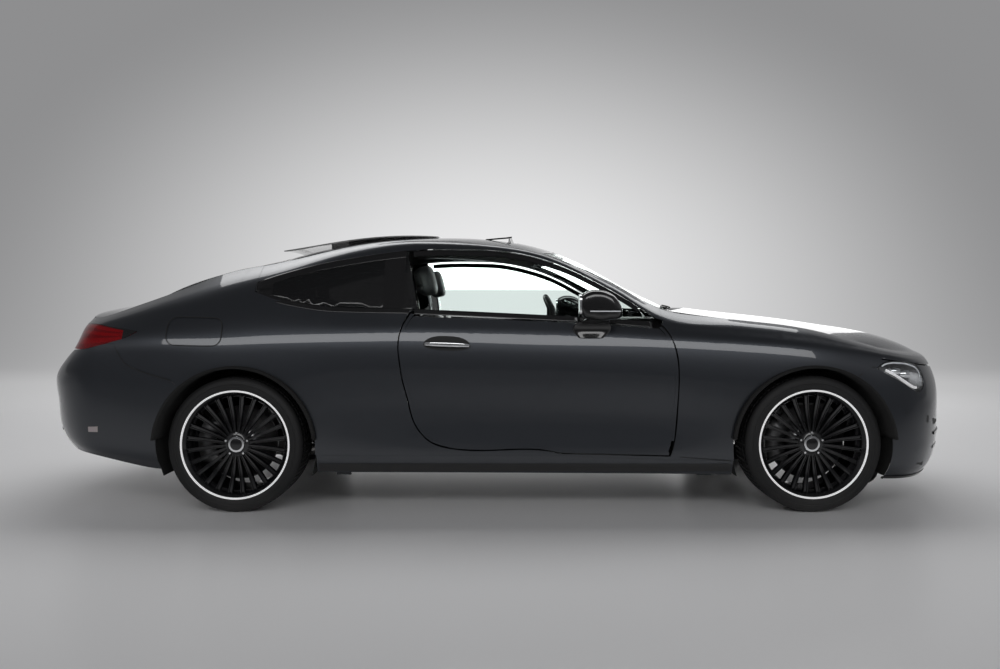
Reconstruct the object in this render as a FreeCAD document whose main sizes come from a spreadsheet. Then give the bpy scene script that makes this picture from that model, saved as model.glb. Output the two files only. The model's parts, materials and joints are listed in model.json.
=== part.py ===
import FreeCAD, Part
import math
import os
import Sketcher
from FreeCAD import Vector

# Two-door coupe. +X is forward, +Z is up, and the right side of the car is -Y.
# The origin is on the floor, midway along the car, in its middle plane.
sizes = {
    # overall
    "overall_length": 4850, "overall_width": 1860, "overall_height": 1425,
    "wheelbase": 2865, "front_overhang": 868,
    # skins, gaps and glass
    "skin_thickness": 6, "door_thickness": 90, "door_taper": 40, "lid_thickness": 20,
    "roof_thickness": 24, "rail_thickness": 42, "glass_thickness": 5, "glass_inset": 6,
    "lamp_depth": 80, "lamp_gap_side": 562, "moving_gap": 6, "fixed_gap": 0.5,
    "seat_clearance": 0.3, "bearing_clearance": 0.05,
    # wheels
    "front_tyre_radius": 340, "rear_tyre_radius": 337, "front_tyre_width": 245,
    "rear_tyre_width": 275, "wheel_face_offset": 925, "rim_edge_radius": 270,
    "bead_radius": 256, "barrel_radius": 236, "barrel_wall": 8, "hub_radius": 76,
    "hub_recess": 27, "hub_depth": 50, "cap_radius": 46, "spoke_count": 20, "spoke_width": 18,
    "spoke_depth": 30, "spoke_rib": 7, "spoke_rib_width": 7, "bolt_count": 5,
    "bolt_circle_radius": 56, "bolt_radius": 9,
    "arch_radius": 397, "arch_drop": 12, "liner_thickness": 6, "liner_lap": 8,
    # brakes, spindles and steering pivots
    "disc_radius": 185, "disc_thickness": 32, "disc_bell_radius": 92, "disc_bell_wall": 10,
    "disc_offset": 110, "spindle_radius": 30, "kingpin_radius": 14, "kingpin_offset": 745,
    "caliper_clearance": 5,
    # floor and inner structure
    "floor_height": 201, "sheet_thickness": 20, "boot_floor_height": 331,
    "tunnel_half_width": 130, "tunnel_wall": 25, "tunnel_top": 380,
    "rail_height": 120, "rail_inner": 400, "rail_width": 80, "beam_top": 300,
    "cabin_half_width": 800, "boot_half_width": 610, "bulkhead_half_width": 560,
    # hinges
    "door_hinge_place": 815, "door_hinge_side": 885, "hinge_pin_radius": 8,
    "lid_pin_radius": 4, "bonnet_hinge_place": 873, "boot_hinge_place": -1739,
    # engine and exhaust
    "engine_length": 710, "engine_width": 560, "engine_top": 800, "muffler_length": 390,
    "muffler_width": 960, "pipe_radius": 34, "pipe_height": 180, "tip_radius": 34, "tip_wall": 4,
    "tip_height": 295,
    # cabin
    "steering_wheel_radius": 183, "steering_wheel_grip": 14, "steering_wheel_height": 927,
    "column_angle": 25, "column_radius": 20, "boss_radius": 48, "driver_side": 370,
    "seat_width": 470, "rear_seat_width": 1110, "dashboard_width": 1430,
}

doc = FreeCAD.newDocument("Coupe")
sheet = doc.addObject("Spreadsheet::Sheet", "Sizes")
for line, (name, value) in enumerate(sizes.items(), 1):
    sheet.set("A%d" % line, name)
    sheet.set("B%d" % line, str(value))
    sheet.setAlias("B%d" % line, name)
doc.recompute()


def size(name):
    return float(getattr(sheet, name))


# The tables below are drawn on a car of these sizes, and are stretched to the sheet's.
front_axle = size("overall_length") / 2 - size("front_overhang")
rear_axle = front_axle - size("wheelbase")
drawn_places = (-2425, -1308, 1557, 2425)
real_places = (-size("overall_length") / 2, rear_axle, front_axle, size("overall_length") / 2)


def along(x):
    k = 0 if x < drawn_places[1] else 1 if x < drawn_places[2] else 2
    share = (x - drawn_places[k]) / (drawn_places[k + 1] - drawn_places[k])
    return real_places[k] + share * (real_places[k + 1] - real_places[k])


def across(w):
    return w * size("overall_width") / 1860


def up(z):
    return z * size("overall_height") / 1425


def spot(x, w, z):
    return Vector(along(x), -across(w), up(z))


def smooth(knots, values, at):
    """Smooth curve through the values, which are lists of equal length."""
    last = len(knots) - 1
    k = 0
    while k < last - 1 and at > knots[k + 1]:
        k += 1

    def slope(n):
        a, b = max(n - 1, 0), min(n + 1, last)
        return [(q - p) / (knots[b] - knots[a]) for p, q in zip(values[a], values[b])]

    span = knots[k + 1] - knots[k]
    t = (at - knots[k]) / span
    pairs = zip(values[k], values[k + 1], slope(k), slope(k + 1))
    return [(2 * t**3 - 3 * t**2 + 1) * p + (t**3 - 2 * t**2 + t) * span * m
            + (3 * t**2 - 2 * t**3) * q + (t**3 - t**2) * span * n for p, q, m, n in pairs]


# Cross-sections of the body side: height and half width of eight lines that run
# along the car, from the foot of the sill to the edge of the roof and lids.
sections = (
    # place  foot        ledge       low         waist       crease      shoulder     rail         top
    (-2000, (270, 846), (335, 882), (530, 900), (735, 902), (858, 884), (925, 826), (955, 778), (979, 722)),
    (-1720, (214, 872), (300, 908), (520, 922), (742, 920), (872, 902), (985, 826), (1040, 760), (1083, 672)),
    (-1420, (203, 882), (288, 918), (516, 930), (750, 930), (884, 906), (1022, 826), (1120, 738), (1200, 612)),
    (-1130, (198, 885), (282, 916), (512, 928), (750, 928), (888, 906), (1030, 832), (1184, 722), (1258, 604)),
    (-760, (197, 885), (277, 913), (505, 914), (748, 922), (887, 904), (1008, 842), (1272, 698), (1340, 612)),
    (-400, (196, 885), (274, 912), (498, 907), (742, 917), (883, 901), (998, 847), (1316, 690), (1371, 620)),
    (200, (193, 885), (270, 911), (482, 903), (729, 914), (867, 897), (971, 850), (1268, 700), (1304, 640)),
    (600, (191, 885), (268, 911), (474, 903), (711, 915), (858, 897), (945, 853), (1092, 766), (1132, 702)),
    (830, (189, 885), (266, 912), (468, 906), (698, 918), (851, 899), (927, 853), (968, 815), (1010, 745)),
    (1240, (184, 884), (262, 914), (470, 922), (684, 926), (833, 904), (896, 858), (930, 818), (952, 764)),
    (1557, (178, 882), (256, 915), (480, 928), (690, 931), (815, 908), (866, 860), (894, 820), (911, 772)),
    (1912, (166, 876), (240, 908), (450, 914), (640, 906), (762, 880), (797, 842), (812, 800), (822, 752)),
)
# Height and place of the same lines where they cross the middle plane, at each end.
nose = ((176, 2335), (235, 2385), (455, 2423), (610, 2425),
        (700, 2392), (752, 2368), (775, 2350), (792, 2322))
tail = ((300, -2335), (425, -2405), (550, -2425), (655, -2418),
        (745, -2295), (905, -2248), (965, -2222), (1006, -2200))
roundness = 2.2
foot, ledge, low, waist, crease, shoulder, rail, top = range(8)
section_places = [s[0] for s in sections]


def side_line(line, x):
    """Half width and height of one line at a place along the side."""
    z, w = smooth(section_places, [s[line + 1] for s in sections], x)
    return w, z


def end_line(line, turn, end_table, start, sign):
    """One line where it wraps round an end: turn 0 at the side, 90 at the middle."""
    w0, z0 = side_line(line, start)
    w1, z1 = side_line(line, start - sign)
    end_z, end_x = end_table[line]
    reach = abs(end_x - start)
    share = math.sin(math.radians(turn)) ** (2 / roundness)
    wide = math.cos(math.radians(turn)) ** (2 / roundness) if turn < 90 else 0
    w = (w0 + (w0 - w1) * reach * share) * wide
    rise = (z0 - z1) * reach
    z = z0 + rise * share + (end_z - z0 - rise) * share**2
    return start + sign * reach * share, w, z


def skin_point(column, line):
    """Point of the outer surface. A column is a place along the side, or ("nose" or "tail", turn)."""
    points = []
    for k in range(8):
        if isinstance(column, tuple):
            if column[0] == "nose":
                points.append(end_line(k, column[1], nose, section_places[-1], 1))
            else:
                points.append(end_line(k, column[1], tail, section_places[0], -1))
        else:
            w, z = side_line(k, column)
            points.append((column, w, z))
    return smooth(list(range(8)), points, line)


def spread(a, b, count):
    return [a + (b - a) * k / (count - 1) for k in range(count)]


def skin_grid(columns, lines):
    return [[spot(*skin_point(c, r)) for r in lines] for c in columns]


def normal_at(grid, i, j):
    a = grid[min(i + 1, len(grid) - 1)][j] - grid[max(i - 1, 0)][j]
    b = grid[i][min(j + 1, len(grid[0]) - 1)] - grid[i][max(j - 1, 0)]
    return a.cross(b).normalize()


def moved_in(grid, depth):
    return [[p - normal_at(grid, i, j) * depth for j, p in enumerate(row)] for i, row in enumerate(grid)]


def spacing(grid):
    """Parameters of a grid's rows, from the mean distance between them."""
    steps = [sum((a - b).Length for a, b in zip(grid[k], grid[k + 1])) for k in range(len(grid) - 1)]
    marks = [0.0]
    for step in steps:
        marks.append(marks[-1] + step / sum(steps))
    marks[-1] = 1.0
    return marks


def through(points, marks):
    curve = Part.BSplineCurve()
    curve.interpolate(Points=points, Parameters=marks)
    return curve


def surface_through(grid):
    """Cubic surface through a grid of points."""
    across_marks = spacing([list(column) for column in zip(*grid)])
    curves = [through(row, across_marks) for row in grid]
    columns = zip(*[curve.getPoles() for curve in curves])
    along_marks = spacing(grid)
    lines = [through(list(column), along_marks) for column in columns]
    poles = [list(row) for row in zip(*[curve.getPoles() for curve in lines])]
    surface = Part.BSplineSurface()
    surface.buildFromPolesMultsKnots(
        poles, lines[0].getMultiplicities(), curves[0].getMultiplicities(),
        lines[0].getKnots(), curves[0].getKnots(), False, False, 3, 3)
    return surface


def shell_between(outer, inner):
    """Closed solid between two grids of points, with ruled edges."""
    surfaces = [surface_through(outer), surface_through(inner)]
    a, b = surfaces
    faces = [a.toShape(), b.toShape()]
    u0, u1, v0, v1 = a.bounds()
    for edge in (("u", u0), ("u", u1), ("v", v0), ("v", v1)):
        curves = [(s.uIso if edge[0] == "u" else s.vIso)(edge[1]).toShape() for s in surfaces]
        faces.append(Part.makeRuledSurface(*curves))
    shell = Part.Shell(faces)
    shell.sewShape()
    solid = Part.Solid(shell)
    if solid.Volume < 0:
        solid.reverse()
    return solid


def panel(grid, thickness, inset=0, way=None):
    """Thick panel behind a grid, along its own normals or all one way."""
    outer = moved_in(grid, inset) if inset else grid
    if way:
        return shell_between(outer, [[p + way * thickness for p in row] for row in outer])
    return shell_between(outer, moved_in(grid, inset + thickness))


def outline_wire(points, y, curves=()):
    """Closed outline in side view. Each pair in curves is a run of points joined by one curve."""
    corners = [Vector(along(x), y, up(z)) for x, z in points]
    corners.append(corners[0])
    edges = []
    k = 0
    while k < len(corners) - 1:
        ends = [b for a, b in curves if a == k]
        if ends:
            curve = Part.BSplineCurve()
            curve.interpolate(corners[k:ends[0] + 1])
            edges.append(curve.toShape())
            k = ends[0]
        else:
            edges.append(Part.makeLine(corners[k], corners[k + 1]))
            k += 1
    return Part.Wire(edges)


def side_block(points, y0=-1200, y1=0, curves=()):
    """Block whose outline is given in side view, between two planes."""
    return Part.Face(outline_wire(points, y0, curves)).extrude(Vector(0, y1 - y0, 0))


def tapered_block(points, narrow, y0, y1, curves=()):
    return Part.makeLoft([outline_wire(points, y0, curves), outline_wire(narrow, y1, curves)], True, True)


def grown(points, distance):
    """Outline moved outwards along its own normals; its points run anticlockwise."""
    out = []
    for k, (x, z) in enumerate(points):
        (xa, za), (xb, zb) = points[k - 1], points[(k + 1) % len(points)]
        na = Vector(z - za, xa - x, 0).normalize()
        nb = Vector(zb - z, x - xb, 0).normalize()
        n = (na + nb) * (1 / (1 + na.dot(nb)))
        out.append((x + n.x * distance, z + n.y * distance))
    return out


def mirrored(shape):
    return shape.mirror(Vector(0, 0, 0), Vector(0, 1, 0))


def box(x0, x1, y0, y1, z0, z1):
    return Part.makeBox(x1 - x0, y1 - y0, z1 - z0, Vector(x0, y0, z0))


def rod(radius, start, finish):
    way = finish - start
    return Part.makeCylinder(radius, way.Length, start, way)


def tube(outer, inner, start, finish):
    return rod(outer, start, finish).cut(rod(inner, start, finish))


def largest(shape):
    return max(shape.Solids, key=lambda s: s.Volume)


def kept_off(shape, other, gap):
    """Shape cut so that it stays clear of another on every side."""
    for way in (Vector(1, 0, 0), Vector(0, 1, 0), Vector(0, 0, 1)):
        for sign in (-1, 1):
            shape = shape.cut(other.translated(way * gap * sign))
    return largest(shape)


moving_gap, fixed_gap = size("moving_gap"), size("fixed_gap")
seat_clearance = size("seat_clearance")
skin = size("skin_thickness")

# Shut lines in side view: place and height.
belt = ((-1237, 1097), (-1125, 1057), (-975, 1026), (-860, 1011), (-665, 1004), (-431, 999),
        (305, 965), (510, 953), (806, 931))
door_rear = ((-440, 996), (-481, 921), (-498, 835), (-491, 750), (-477, 660), (-451, 561), (-426, 463),
             (-393, 405), (-336, 352), (-246, 323), (-82, 311), (301, 297))
door_front = ((846, 284), (873, 392), (885, 561), (888, 639), (885, 737), (866, 835), (840, 892), (808, 932))
door_top = ((510, 953), (305, 965))
door_outline = door_rear + door_front + door_top
door_curves = ((0, len(door_rear) - 1), (len(door_rear), len(door_rear) + len(door_front) - 1))
window_top = ((-1237, 1148), (-1106, 1193), (-927, 1240), (-749, 1273), (-570, 1300), (-389, 1318),
              (-189, 1322), (50, 1308), (316, 1238), (538, 1129), (677, 1045), (790, 963))
sill_top = ((-905, 285), (-246, 285), (301, 283), (830, 264), (1160, 258))
front_cut = ((1700, 500), (1769, 668), (1845, 720), (1912, 765))
rear_cut = ((-1560, 600), (-1625, 660), (-1691, 678), (-1782, 708), (-1849, 741), (-1910, 838))
headlamp_outline = ((1986, 658), (2085, 601), (2117, 595), (2145, 620), (2142, 686), (2123, 716),
                    (2073, 740), (2014, 751), (1931, 749), (1871, 715))
headlamp_curves = ((1, 9),)
tail_lamp_outline = ((-1797, 900), (-2043, 937), (-2600, 930), (-2600, 811), (-2068, 812), (-1939, 842),
                     (-1865, 863))
# Columns and lines that all panels of the side share, so that they meet flush.
side_columns = (-2000, -1860, -1720, -1570, -1420, -1275, -1130, -945, -760, -580, -400, -100, 200, 400, 600,
                715, 830, 1035, 1240, 1400, 1557, 1735, 1912)
end_turns = (0, 18, 36, 54, 72, 90)


def side_grid(first, last, low_line=0.5, high_line=7, extra=()):
    """Skin points between two places, on the shared columns and whole lines."""
    columns = [x for x in side_columns if first <= x <= last]
    lines = [low_line] + [k for k in range(8) if low_line < k < high_line] + [high_line]
    return skin_grid(list(extra) + columns, lines)


def raised(points, distance):
    return [(x, z + distance) for x, z in points]


def arch_centre(axle, radius):
    return Vector(axle, 0, radius - size("arch_drop"))


def arch_cut(axle, radius):
    centre = arch_centre(axle, radius)
    return rod(size("arch_radius"), centre + Vector(0, -1200, 0), centre)


front_arch = arch_cut(front_axle, size("front_tyre_radius"))
rear_arch = arch_cut(rear_axle, size("rear_tyre_radius"))

# Doors: a thick panel cut to its outline, narrower inside than outside.
door_skin = panel(side_grid(-580, 1035, 0.5, 5.3), size("door_thickness"))
door_block = tapered_block(door_outline, grown(door_outline, -size("door_taper")),
                           -across(1000), -across(740), door_curves)
door = door_skin.common(door_block)
door_gap_block = side_block(grown(door_outline, moving_gap), curves=door_curves)

hinge_x, hinge_y = along(size("door_hinge_place")), -size("door_hinge_side")
pin = size("hinge_pin_radius")
hinge_heights = (up(385), up(690))
hinge_height = 26
hinges = []
for z in hinge_heights:
    pocket = box(hinge_x - 22, hinge_x + 80, hinge_y - 16, hinge_y + 200,
                 z - moving_gap, z + hinge_height + moving_gap)
    bore = rod(pin + size("bearing_clearance"), Vector(hinge_x, hinge_y, z), Vector(hinge_x, hinge_y, z + 80))
    door = door.cut(pocket).cut(bore)
    pin_rod = rod(pin, Vector(hinge_x, hinge_y, z), Vector(hinge_x, hinge_y, z + 74))
    knuckle_ring = rod(pin + 5, Vector(hinge_x, hinge_y, z), Vector(hinge_x, hinge_y, z + hinge_height))
    arm = box(hinge_x, hinge_x + 150, hinge_y - 6, hinge_y + 6, z, z + hinge_height)
    arm.rotate(Vector(hinge_x, hinge_y, z), Vector(0, 0, 1), 62)
    hinges.append(pin_rod.fuse([knuckle_ring, arm]))
door = largest(door)

# Roof rail and windscreen pillar, one strip above the side windows.
rail_skin = panel(side_grid(-1275, 830, 4.8), size("rail_thickness"), way=Vector(0, 0.8, -0.6))
rail_outline = list(window_top) + [(824, 955), (824, 1500), (-1237, 1500)]
roof_rail = largest(rail_skin.common(side_block(rail_outline, -across(1000), 0, ((0, len(window_top) - 1),))))

# Door glass: between the belt and the roof rail, just inside the skin.
glass_sheet = panel(side_grid(-580, 830, 4.5, 6.2), size("glass_thickness"), size("glass_inset"))
window_line = [p for p in window_top if -450 < p[0] < 700]
glass_outline = [(-396, 998.3), (305, 965.3), (510, 953.3), (770, 936)]
glass_curves = ((4, 3 + len(window_line)),)
glass_outline += [(x, z - moving_gap) for x, z in reversed(window_line)]
glass_outline[-1:] = [(-389, 1318 - moving_gap), (-461, 1309 - moving_gap)]
door_glass = glass_sheet.common(side_block(glass_outline, -across(1000), -across(400), glass_curves))
door_glass = kept_off(door_glass, roof_rail, moving_gap)

# Rear quarter glass, fixed behind the door glass.
quarter_sheet = panel(side_grid(-1420, -100, 4.5, 6.4), size("glass_thickness"), size("glass_inset"))
quarter_belt = [p for p in belt if p[0] < -500]
quarter_top = [p for p in window_top if p[0] < -500]
quarter_outline = quarter_belt + [(-405, 999), (-472, 1310)] + quarter_top[::-1]
quarter_window = side_block(grown(quarter_outline, -fixed_gap), -across(1000), -across(400))
quarter_glass = kept_off(quarter_sheet.common(quarter_window), roof_rail, seat_clearance)

# Body side: from the tail lamp past the arch and under the door, with the window cut.
quarter_skin = panel(side_grid(-2000, 1035, extra=[("tail", t) for t in end_turns[3:0:-1]]), skin)
quarter_shape = ([(-446, 1002), (-400, 900), (600, 600), (600, 300), (852, 300), (852, 263.2)]
                 + raised(sill_top[3::-1], fixed_gap) + list(rear_cut)
                 + [(-1939, 842), (-1865, 863), (-1797, 900), (-2043, 937), (-2600, 930),
                    (-2600, 1500), (-1237.5, 1500), (-1237.5, 1097)] + list(belt[1:5]))
quarter_panel = largest(quarter_skin.common(side_block(quarter_shape)).cut(rear_arch).cut(door_gap_block))

# Sill: an outer skin on a box section, with two lift pads under it.
sill_columns = [x for x in side_columns if -950 < x < 1250]
sill_skin = panel(skin_grid(sill_columns, [0, 0.4, 0.8, 1.3]), 40, way=Vector(0, 1, 0))
sill_box = box(along(-905), along(1160), -across(870), -across(800), up(200), up(255))
sill_outline = [(-905, 100), (1160, 100)] + list(sill_top[::-1])
sill = sill_skin.fuse(sill_box).common(side_block(sill_outline)).cut(rear_arch).cut(front_arch)
pad_half, pad_low = 35, 178
pads = [box(along(x) - pad_half, along(x) + pad_half, -across(850), -across(800), up(pad_low), up(206))
        for x in (-780, 1030)]
sill = largest(sill.fuse(pads))

# Front wing.
wing_skin = panel(side_grid(600, 1912) + skin_grid([("nose", 9)], [0.5, 1, 2, 3, 4, 5, 6, 7]), skin)
wing_shape = ([(640, 1200), (640, 600), (852.5, 600), (852.5, 263.7), (1160, 258.5)]
              + list(front_cut) + [(1914, 1200)])
wing = largest(wing_skin.common(side_block(wing_shape)).cut(front_arch).cut(door_gap_block))
wing = largest(wing.cut(side_block([(300, 1500), (300, 938), (819, 938), (819, 1500)])))


def cross_line(middle_x, middle_z, edge, gap, count=7, bow=2.0, crown=2.4):
    """Line across a lid, roof or window, bowed in plan and crowned."""
    x1, w1, z1 = edge
    w1 = w1 - gap
    line = []
    for v in spread(-1, 1, count):
        a = abs(v)
        x = middle_x + (x1 - middle_x) * a**bow
        z = middle_z + (z1 - middle_z) * a**crown
        line.append(Vector(along(x), across(w1) * v, up(z)))
    return line


def top_edge(x):
    return skin_point(x, top)


def top_panel(stations, thickness, gap):
    """stations: place and height in the middle plane, then place at the edge; front to rear."""
    grid = [cross_line(xc, zc, top_edge(xe), gap) for xc, zc, xe in reversed(stations)]
    return panel(grid, thickness)


def rebate(stations, thickness):
    """Room that a panel of this thickness takes in what it lies on."""
    return top_panel(stations, thickness + seat_clearance, fixed_gap - seat_clearance)


glass_t, roof_t = size("glass_thickness"), size("roof_thickness")
screen_stations = ((1010, 985, 848), (878, 1050, 730), (745, 1114, 612), (520, 1243, 385), (330, 1328, 214))
roof_stations = ((326, 1332, 208), (80, 1393, 10), (-350, 1413, -380), (-800, 1378, -790), (-1152, 1300, -1117))
rear_stations = ((-1156, 1298, -1121), (-1330, 1250, -1270), (-1500, 1192, -1440), (-1797, 1073, -1711))
windscreen = top_panel(screen_stations, glass_t, fixed_gap)
roof = top_panel(roof_stations, roof_t, fixed_gap)
rear_window = top_panel(rear_stations, glass_t, fixed_gap)
roof_rail = largest(roof_rail.cut(rebate(roof_stations, roof_t)).cut(rebate(screen_stations, glass_t)))
roof_rail = largest(roof_rail.cut(rebate(rear_stations, glass_t)))
quarter_panel = largest(quarter_panel.cut(rebate(rear_stations, glass_t)).cut(rebate(roof_stations, roof_t)))
wing = largest(wing.cut(rebate(screen_stations, glass_t)))

# Sunroof: its opening in the roof, and its glass slid back above the roof.
sunroof_opening = box(along(-330), along(100), -across(400), across(400), up(1300), up(1500))
sunroof_opening = sunroof_opening.makeFillet(45, [e for e in sunroof_opening.Edges if abs(e.tangentAt(0).z) > 0.9])
roof = roof.cut(sunroof_opening)
sunroof_stations = ((-335, 1420), (-560, 1424), (-800, 1404), (-1000, 1372), (-1180, 1342))
sunroof_grid = [[Vector(along(x), across(395) * v, up(z - 12 * v * v)) for v in spread(-1, 1, 5)]
                for x, z in reversed(sunroof_stations)]
sunroof = panel(sunroof_grid, glass_t)
runner = [(-350, 1385), (-350, 1412), (-560, 1413), (-800, 1393), (-930, 1373), (-930, 1340)]
runners = side_block(runner, -across(330), -across(318)).fuse(side_block(runner, across(318), across(330)))
runners = runners.cut(roof)
sunroof = sunroof.fuse([s for s in runners.Solids if s.CenterOfMass.z > up(1385)])


def end_lines_of(table_end, turns, line, gap):
    """One line of the skin round an end of the car, from the right side to the left."""
    half = [skin_point((table_end, t), line) for t in turns]
    widest = max(p[1] for p in half)
    right = [Vector(along(x), -across(w) * (1 - gap / widest), up(z)) for x, w, z in half]
    return right + [Vector(p.x, -p.y, p.z) for p in right[:-1]][::-1]


def between_lines(a, b, share, lift):
    line = []
    for k, (p, q) in enumerate(zip(a, b)):
        v = abs(2 * k / (len(a) - 1) - 1)
        line.append(p + (q - p) * share + Vector(0, 0, lift * (1 - v**2)))
    return line


# Bonnet: its top, and the band that wraps down over the nose.
lid_turns = (0, 15, 30, 45, 60, 75, 90)
lid_count = 2 * len(lid_turns) - 1
bonnet_stations = ((1850, 922, 1780), (1600, 957, 1557), (1300, 990, 1240), (1062, 1018, 866))
bonnet_grid = [cross_line(xc, zc, top_edge(xe), moving_gap, lid_count) for xc, zc, xe in reversed(bonnet_stations)]
front_edge = end_lines_of("nose", lid_turns, top, moving_gap)
bonnet_grid.append(between_lines(bonnet_grid[-1], front_edge, 0.5, 26))
bonnet_grid.append(front_edge)
bonnet_top = panel(bonnet_grid, size("lid_thickness"))
band_lines = [4.12, 4.8, 5.5, 6.2, 6.97]
band_grid = [list(c) for c in zip(*[end_lines_of("nose", lid_turns, line, moving_gap) for line in band_lines])]
bonnet = largest(bonnet_top.fuse(panel(band_grid, size("lid_thickness"))))

# Boot lid: its top down to the spoiler lip, and the face between the tail lamps.
lip = end_lines_of("tail", lid_turns, top, moving_gap)
boot_stations = ((-1812, 1066, -1730), (-1950, 1047, -1880))
boot_grid = [cross_line(xc, zc, top_edge(xe), moving_gap, lid_count) for xc, zc, xe in boot_stations]
boot_grid.append(between_lines(boot_grid[-1], lip, 0.55, 6))
boot_grid.append(lip)
boot_top = panel(boot_grid[::-1], size("lid_thickness"))
face_lines = [4.1, 4.8, 5.5, 6.2, 7]
face_grid = [end_lines_of("tail", lid_turns, line, moving_gap) for line in face_lines]
boot_face = panel([list(c) for c in zip(*face_grid)][::-1], size("lid_thickness"))
lid_face_half = size("lamp_gap_side") - moving_gap
boot_face = boot_face.common(box(along(-2425), along(-2000), -lid_face_half, lid_face_half, up(600), up(1100)))
boot_lid = largest(boot_top.fuse(boot_face))
quarter_panel = quarter_panel.cut(box(along(-2500), along(-2000), -size("lamp_gap_side"), 0, up(600), up(1100)))
quarter_panel = kept_off(largest(quarter_panel), boot_lid, moving_gap)
wing = kept_off(kept_off(wing, bonnet, moving_gap), roof_rail, seat_clearance)
sill = kept_off(sill, quarter_panel, seat_clearance)


# Bumpers.
def whole_end(columns, lines):
    """Grid over a whole end of the car, from the right side round to the left."""
    half = [[spot(*skin_point(c, r)) for r in lines] for c in columns]
    return half + [[Vector(p.x, -p.y, p.z) for p in row] for row in half[:-1]][::-1]


front_columns = [1557, 1735] + [("nose", t) for t in end_turns]
front_bumper = panel(whole_end(front_columns, [0, 1, 2, 3, 3.94]), skin)
front_shape = [(1640, 100), (1640, 480)] + [(x + fixed_gap, z - fixed_gap) for x, z in front_cut]
front_shape += [(2600, 790), (2600, 100)]
front_bumper = front_bumper.common(side_block(front_shape, -1200, 1200))

rear_columns = [-1420, -1570, -1720, -1860] + [("tail", t) for t in end_turns]
rear_bumper = panel(whole_end(rear_columns, [0, 1, 2, 3, 4, 4.7])[::-1], skin)
rear_shape = [(-1540, 100), (-1540, 590)] + [(x - fixed_gap, z - fixed_gap) for x, z in rear_cut]
rear_shape += [(-1939, 841), (-2068, 811.5), (-2140, 806), (-2230, 748), (-2600, 738), (-2600, 100)]
rear_bumper = rear_bumper.common(side_block(rear_shape, -1200, 1200))

for arch in (front_arch, mirrored(front_arch)):
    front_bumper = front_bumper.cut(arch)
for arch in (rear_arch, mirrored(rear_arch)):
    rear_bumper = rear_bumper.cut(arch)
rear_bumper = largest(rear_bumper)

# Lamps, let into the corners.
lamp_skin = panel(skin_grid([1735, 1912] + [("nose", t) for t in (18, 36, 45)], [2.3, 3, 4, 4.4]), size("lamp_depth"))
headlamp_block = side_block(headlamp_outline, -across(1000), -across(450), headlamp_curves)
lens_block = side_block(grown(headlamp_outline, -fixed_gap), -across(1000), -across(450), headlamp_curves)
headlamp = kept_off(largest(lamp_skin.common(lens_block)), bonnet, moving_gap)
front_bumper = front_bumper.cut(headlamp_block).cut(mirrored(headlamp_block))
wing = largest(wing.cut(headlamp_block))

tail_skin = panel(skin_grid([("tail", t) for t in (64, 54, 36, 18)] + [-2000, -1860, -1720], [3.4, 4, 5, 5.8]),
                  size("lamp_depth"))
tail_block = side_block(grown(tail_lamp_outline, -fixed_gap), -across(1000), -size("lamp_gap_side"))
tail_lamp = largest(tail_skin.common(tail_block))

# Grille opening and its insert.
grille_outline = ((-400, 700), (-455, 560), (-430, 470), (430, 470), (455, 560), (400, 700))


def front_block_of(points, grow, x0, x1):
    corners = [Vector(along(x0), across(w), up(z)) for w, z in grown(points, grow)]
    face = Part.Face(Part.makePolygon(corners + corners[:1]))
    return face.extrude(Vector(along(x1) - along(x0), 0, 0))


front_bumper = largest(front_bumper.cut(front_block_of(grille_outline, 0, 2200, 2500)))
grille_skin = panel(whole_end([("nose", t) for t in (36, 54, 72, 90)], [1, 2, 3, 4, 4.2]), 10)
grille = largest(grille_skin.common(front_block_of(grille_outline, -fixed_gap, 2200, 2500)))

# Hinge pins of the lids, carried by the wings and the quarter panels.
lid_pin = size("lid_pin_radius")


def lid_pin_line(place, inner, outer, drop):
    x, w, z = top_edge(place)
    centre_z = up(z) - drop
    return (Vector(along(place), -across(w) + inner, centre_z), Vector(along(place), -across(w) - outer, centre_z))


for label, place, drop in (("bonnet", size("bonnet_hinge_place"), 9), ("boot", size("boot_hinge_place"), 10)):
    start, finish = lid_pin_line(place, 26, 6, drop)
    lid_rod = rod(lid_pin, start, finish)
    bore = rod(lid_pin + size("bearing_clearance"), start + Vector(0, moving_gap, 0), finish)
    if label == "bonnet":
        wing = wing.fuse(lid_rod)
        bonnet = bonnet.cut(bore).cut(mirrored(bore))
        bonnet_hinge = start
    else:
        quarter_panel = quarter_panel.fuse(lid_rod)
        boot_lid = boot_lid.cut(bore).cut(mirrored(bore))
        boot_hinge = start

# Arch liners: a half ring inside each arch, closed towards the middle.
liners = []
for axle, radius, inner_y in ((front_axle, size("front_tyre_radius"), 500), (rear_axle, size("rear_tyre_radius"), 628)):
    centre = arch_centre(axle, radius)
    outer_r = size("arch_radius") + size("liner_lap")
    inner_r = outer_r - size("liner_thickness") - size("liner_lap")
    ring = tube(outer_r, inner_r, centre + Vector(0, -across(960), 0), centre + Vector(0, -inner_y, 0))
    wall = rod(outer_r, centre + Vector(0, -inner_y, 0), centre + Vector(0, -inner_y + size("liner_thickness"), 0))
    keep_ring = box(axle - 500, axle + 500, -1000, 0, centre.z + 40, centre.z + 500)
    keep_wall = box(axle - 500, axle + 500, -1000, 0, up(505), centre.z + 500)
    liner = ring.common(keep_ring).fuse(wall.common(keep_wall))
    for outer in (wing, front_bumper, rear_bumper, quarter_panel):
        liner = liner.cut(outer).cut(outer.translated(Vector(0, seat_clearance, 0)))
    liners.append(max(liner.Solids, key=lambda solid: solid.CenterOfMass.y))

# What follows is drawn as bound objects: their sizes are expressions on the sheet.
front_text = "(Sizes.overall_length / 2 - Sizes.front_overhang)"
rear_text = "(Sizes.overall_length / 2 - Sizes.front_overhang - Sizes.wheelbase)"
rear_overhang_text = "(Sizes.overall_length - Sizes.front_overhang - Sizes.wheelbase)"
drawn_rear, drawn_front = drawn_places[1:3]
parts = {}


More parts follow.
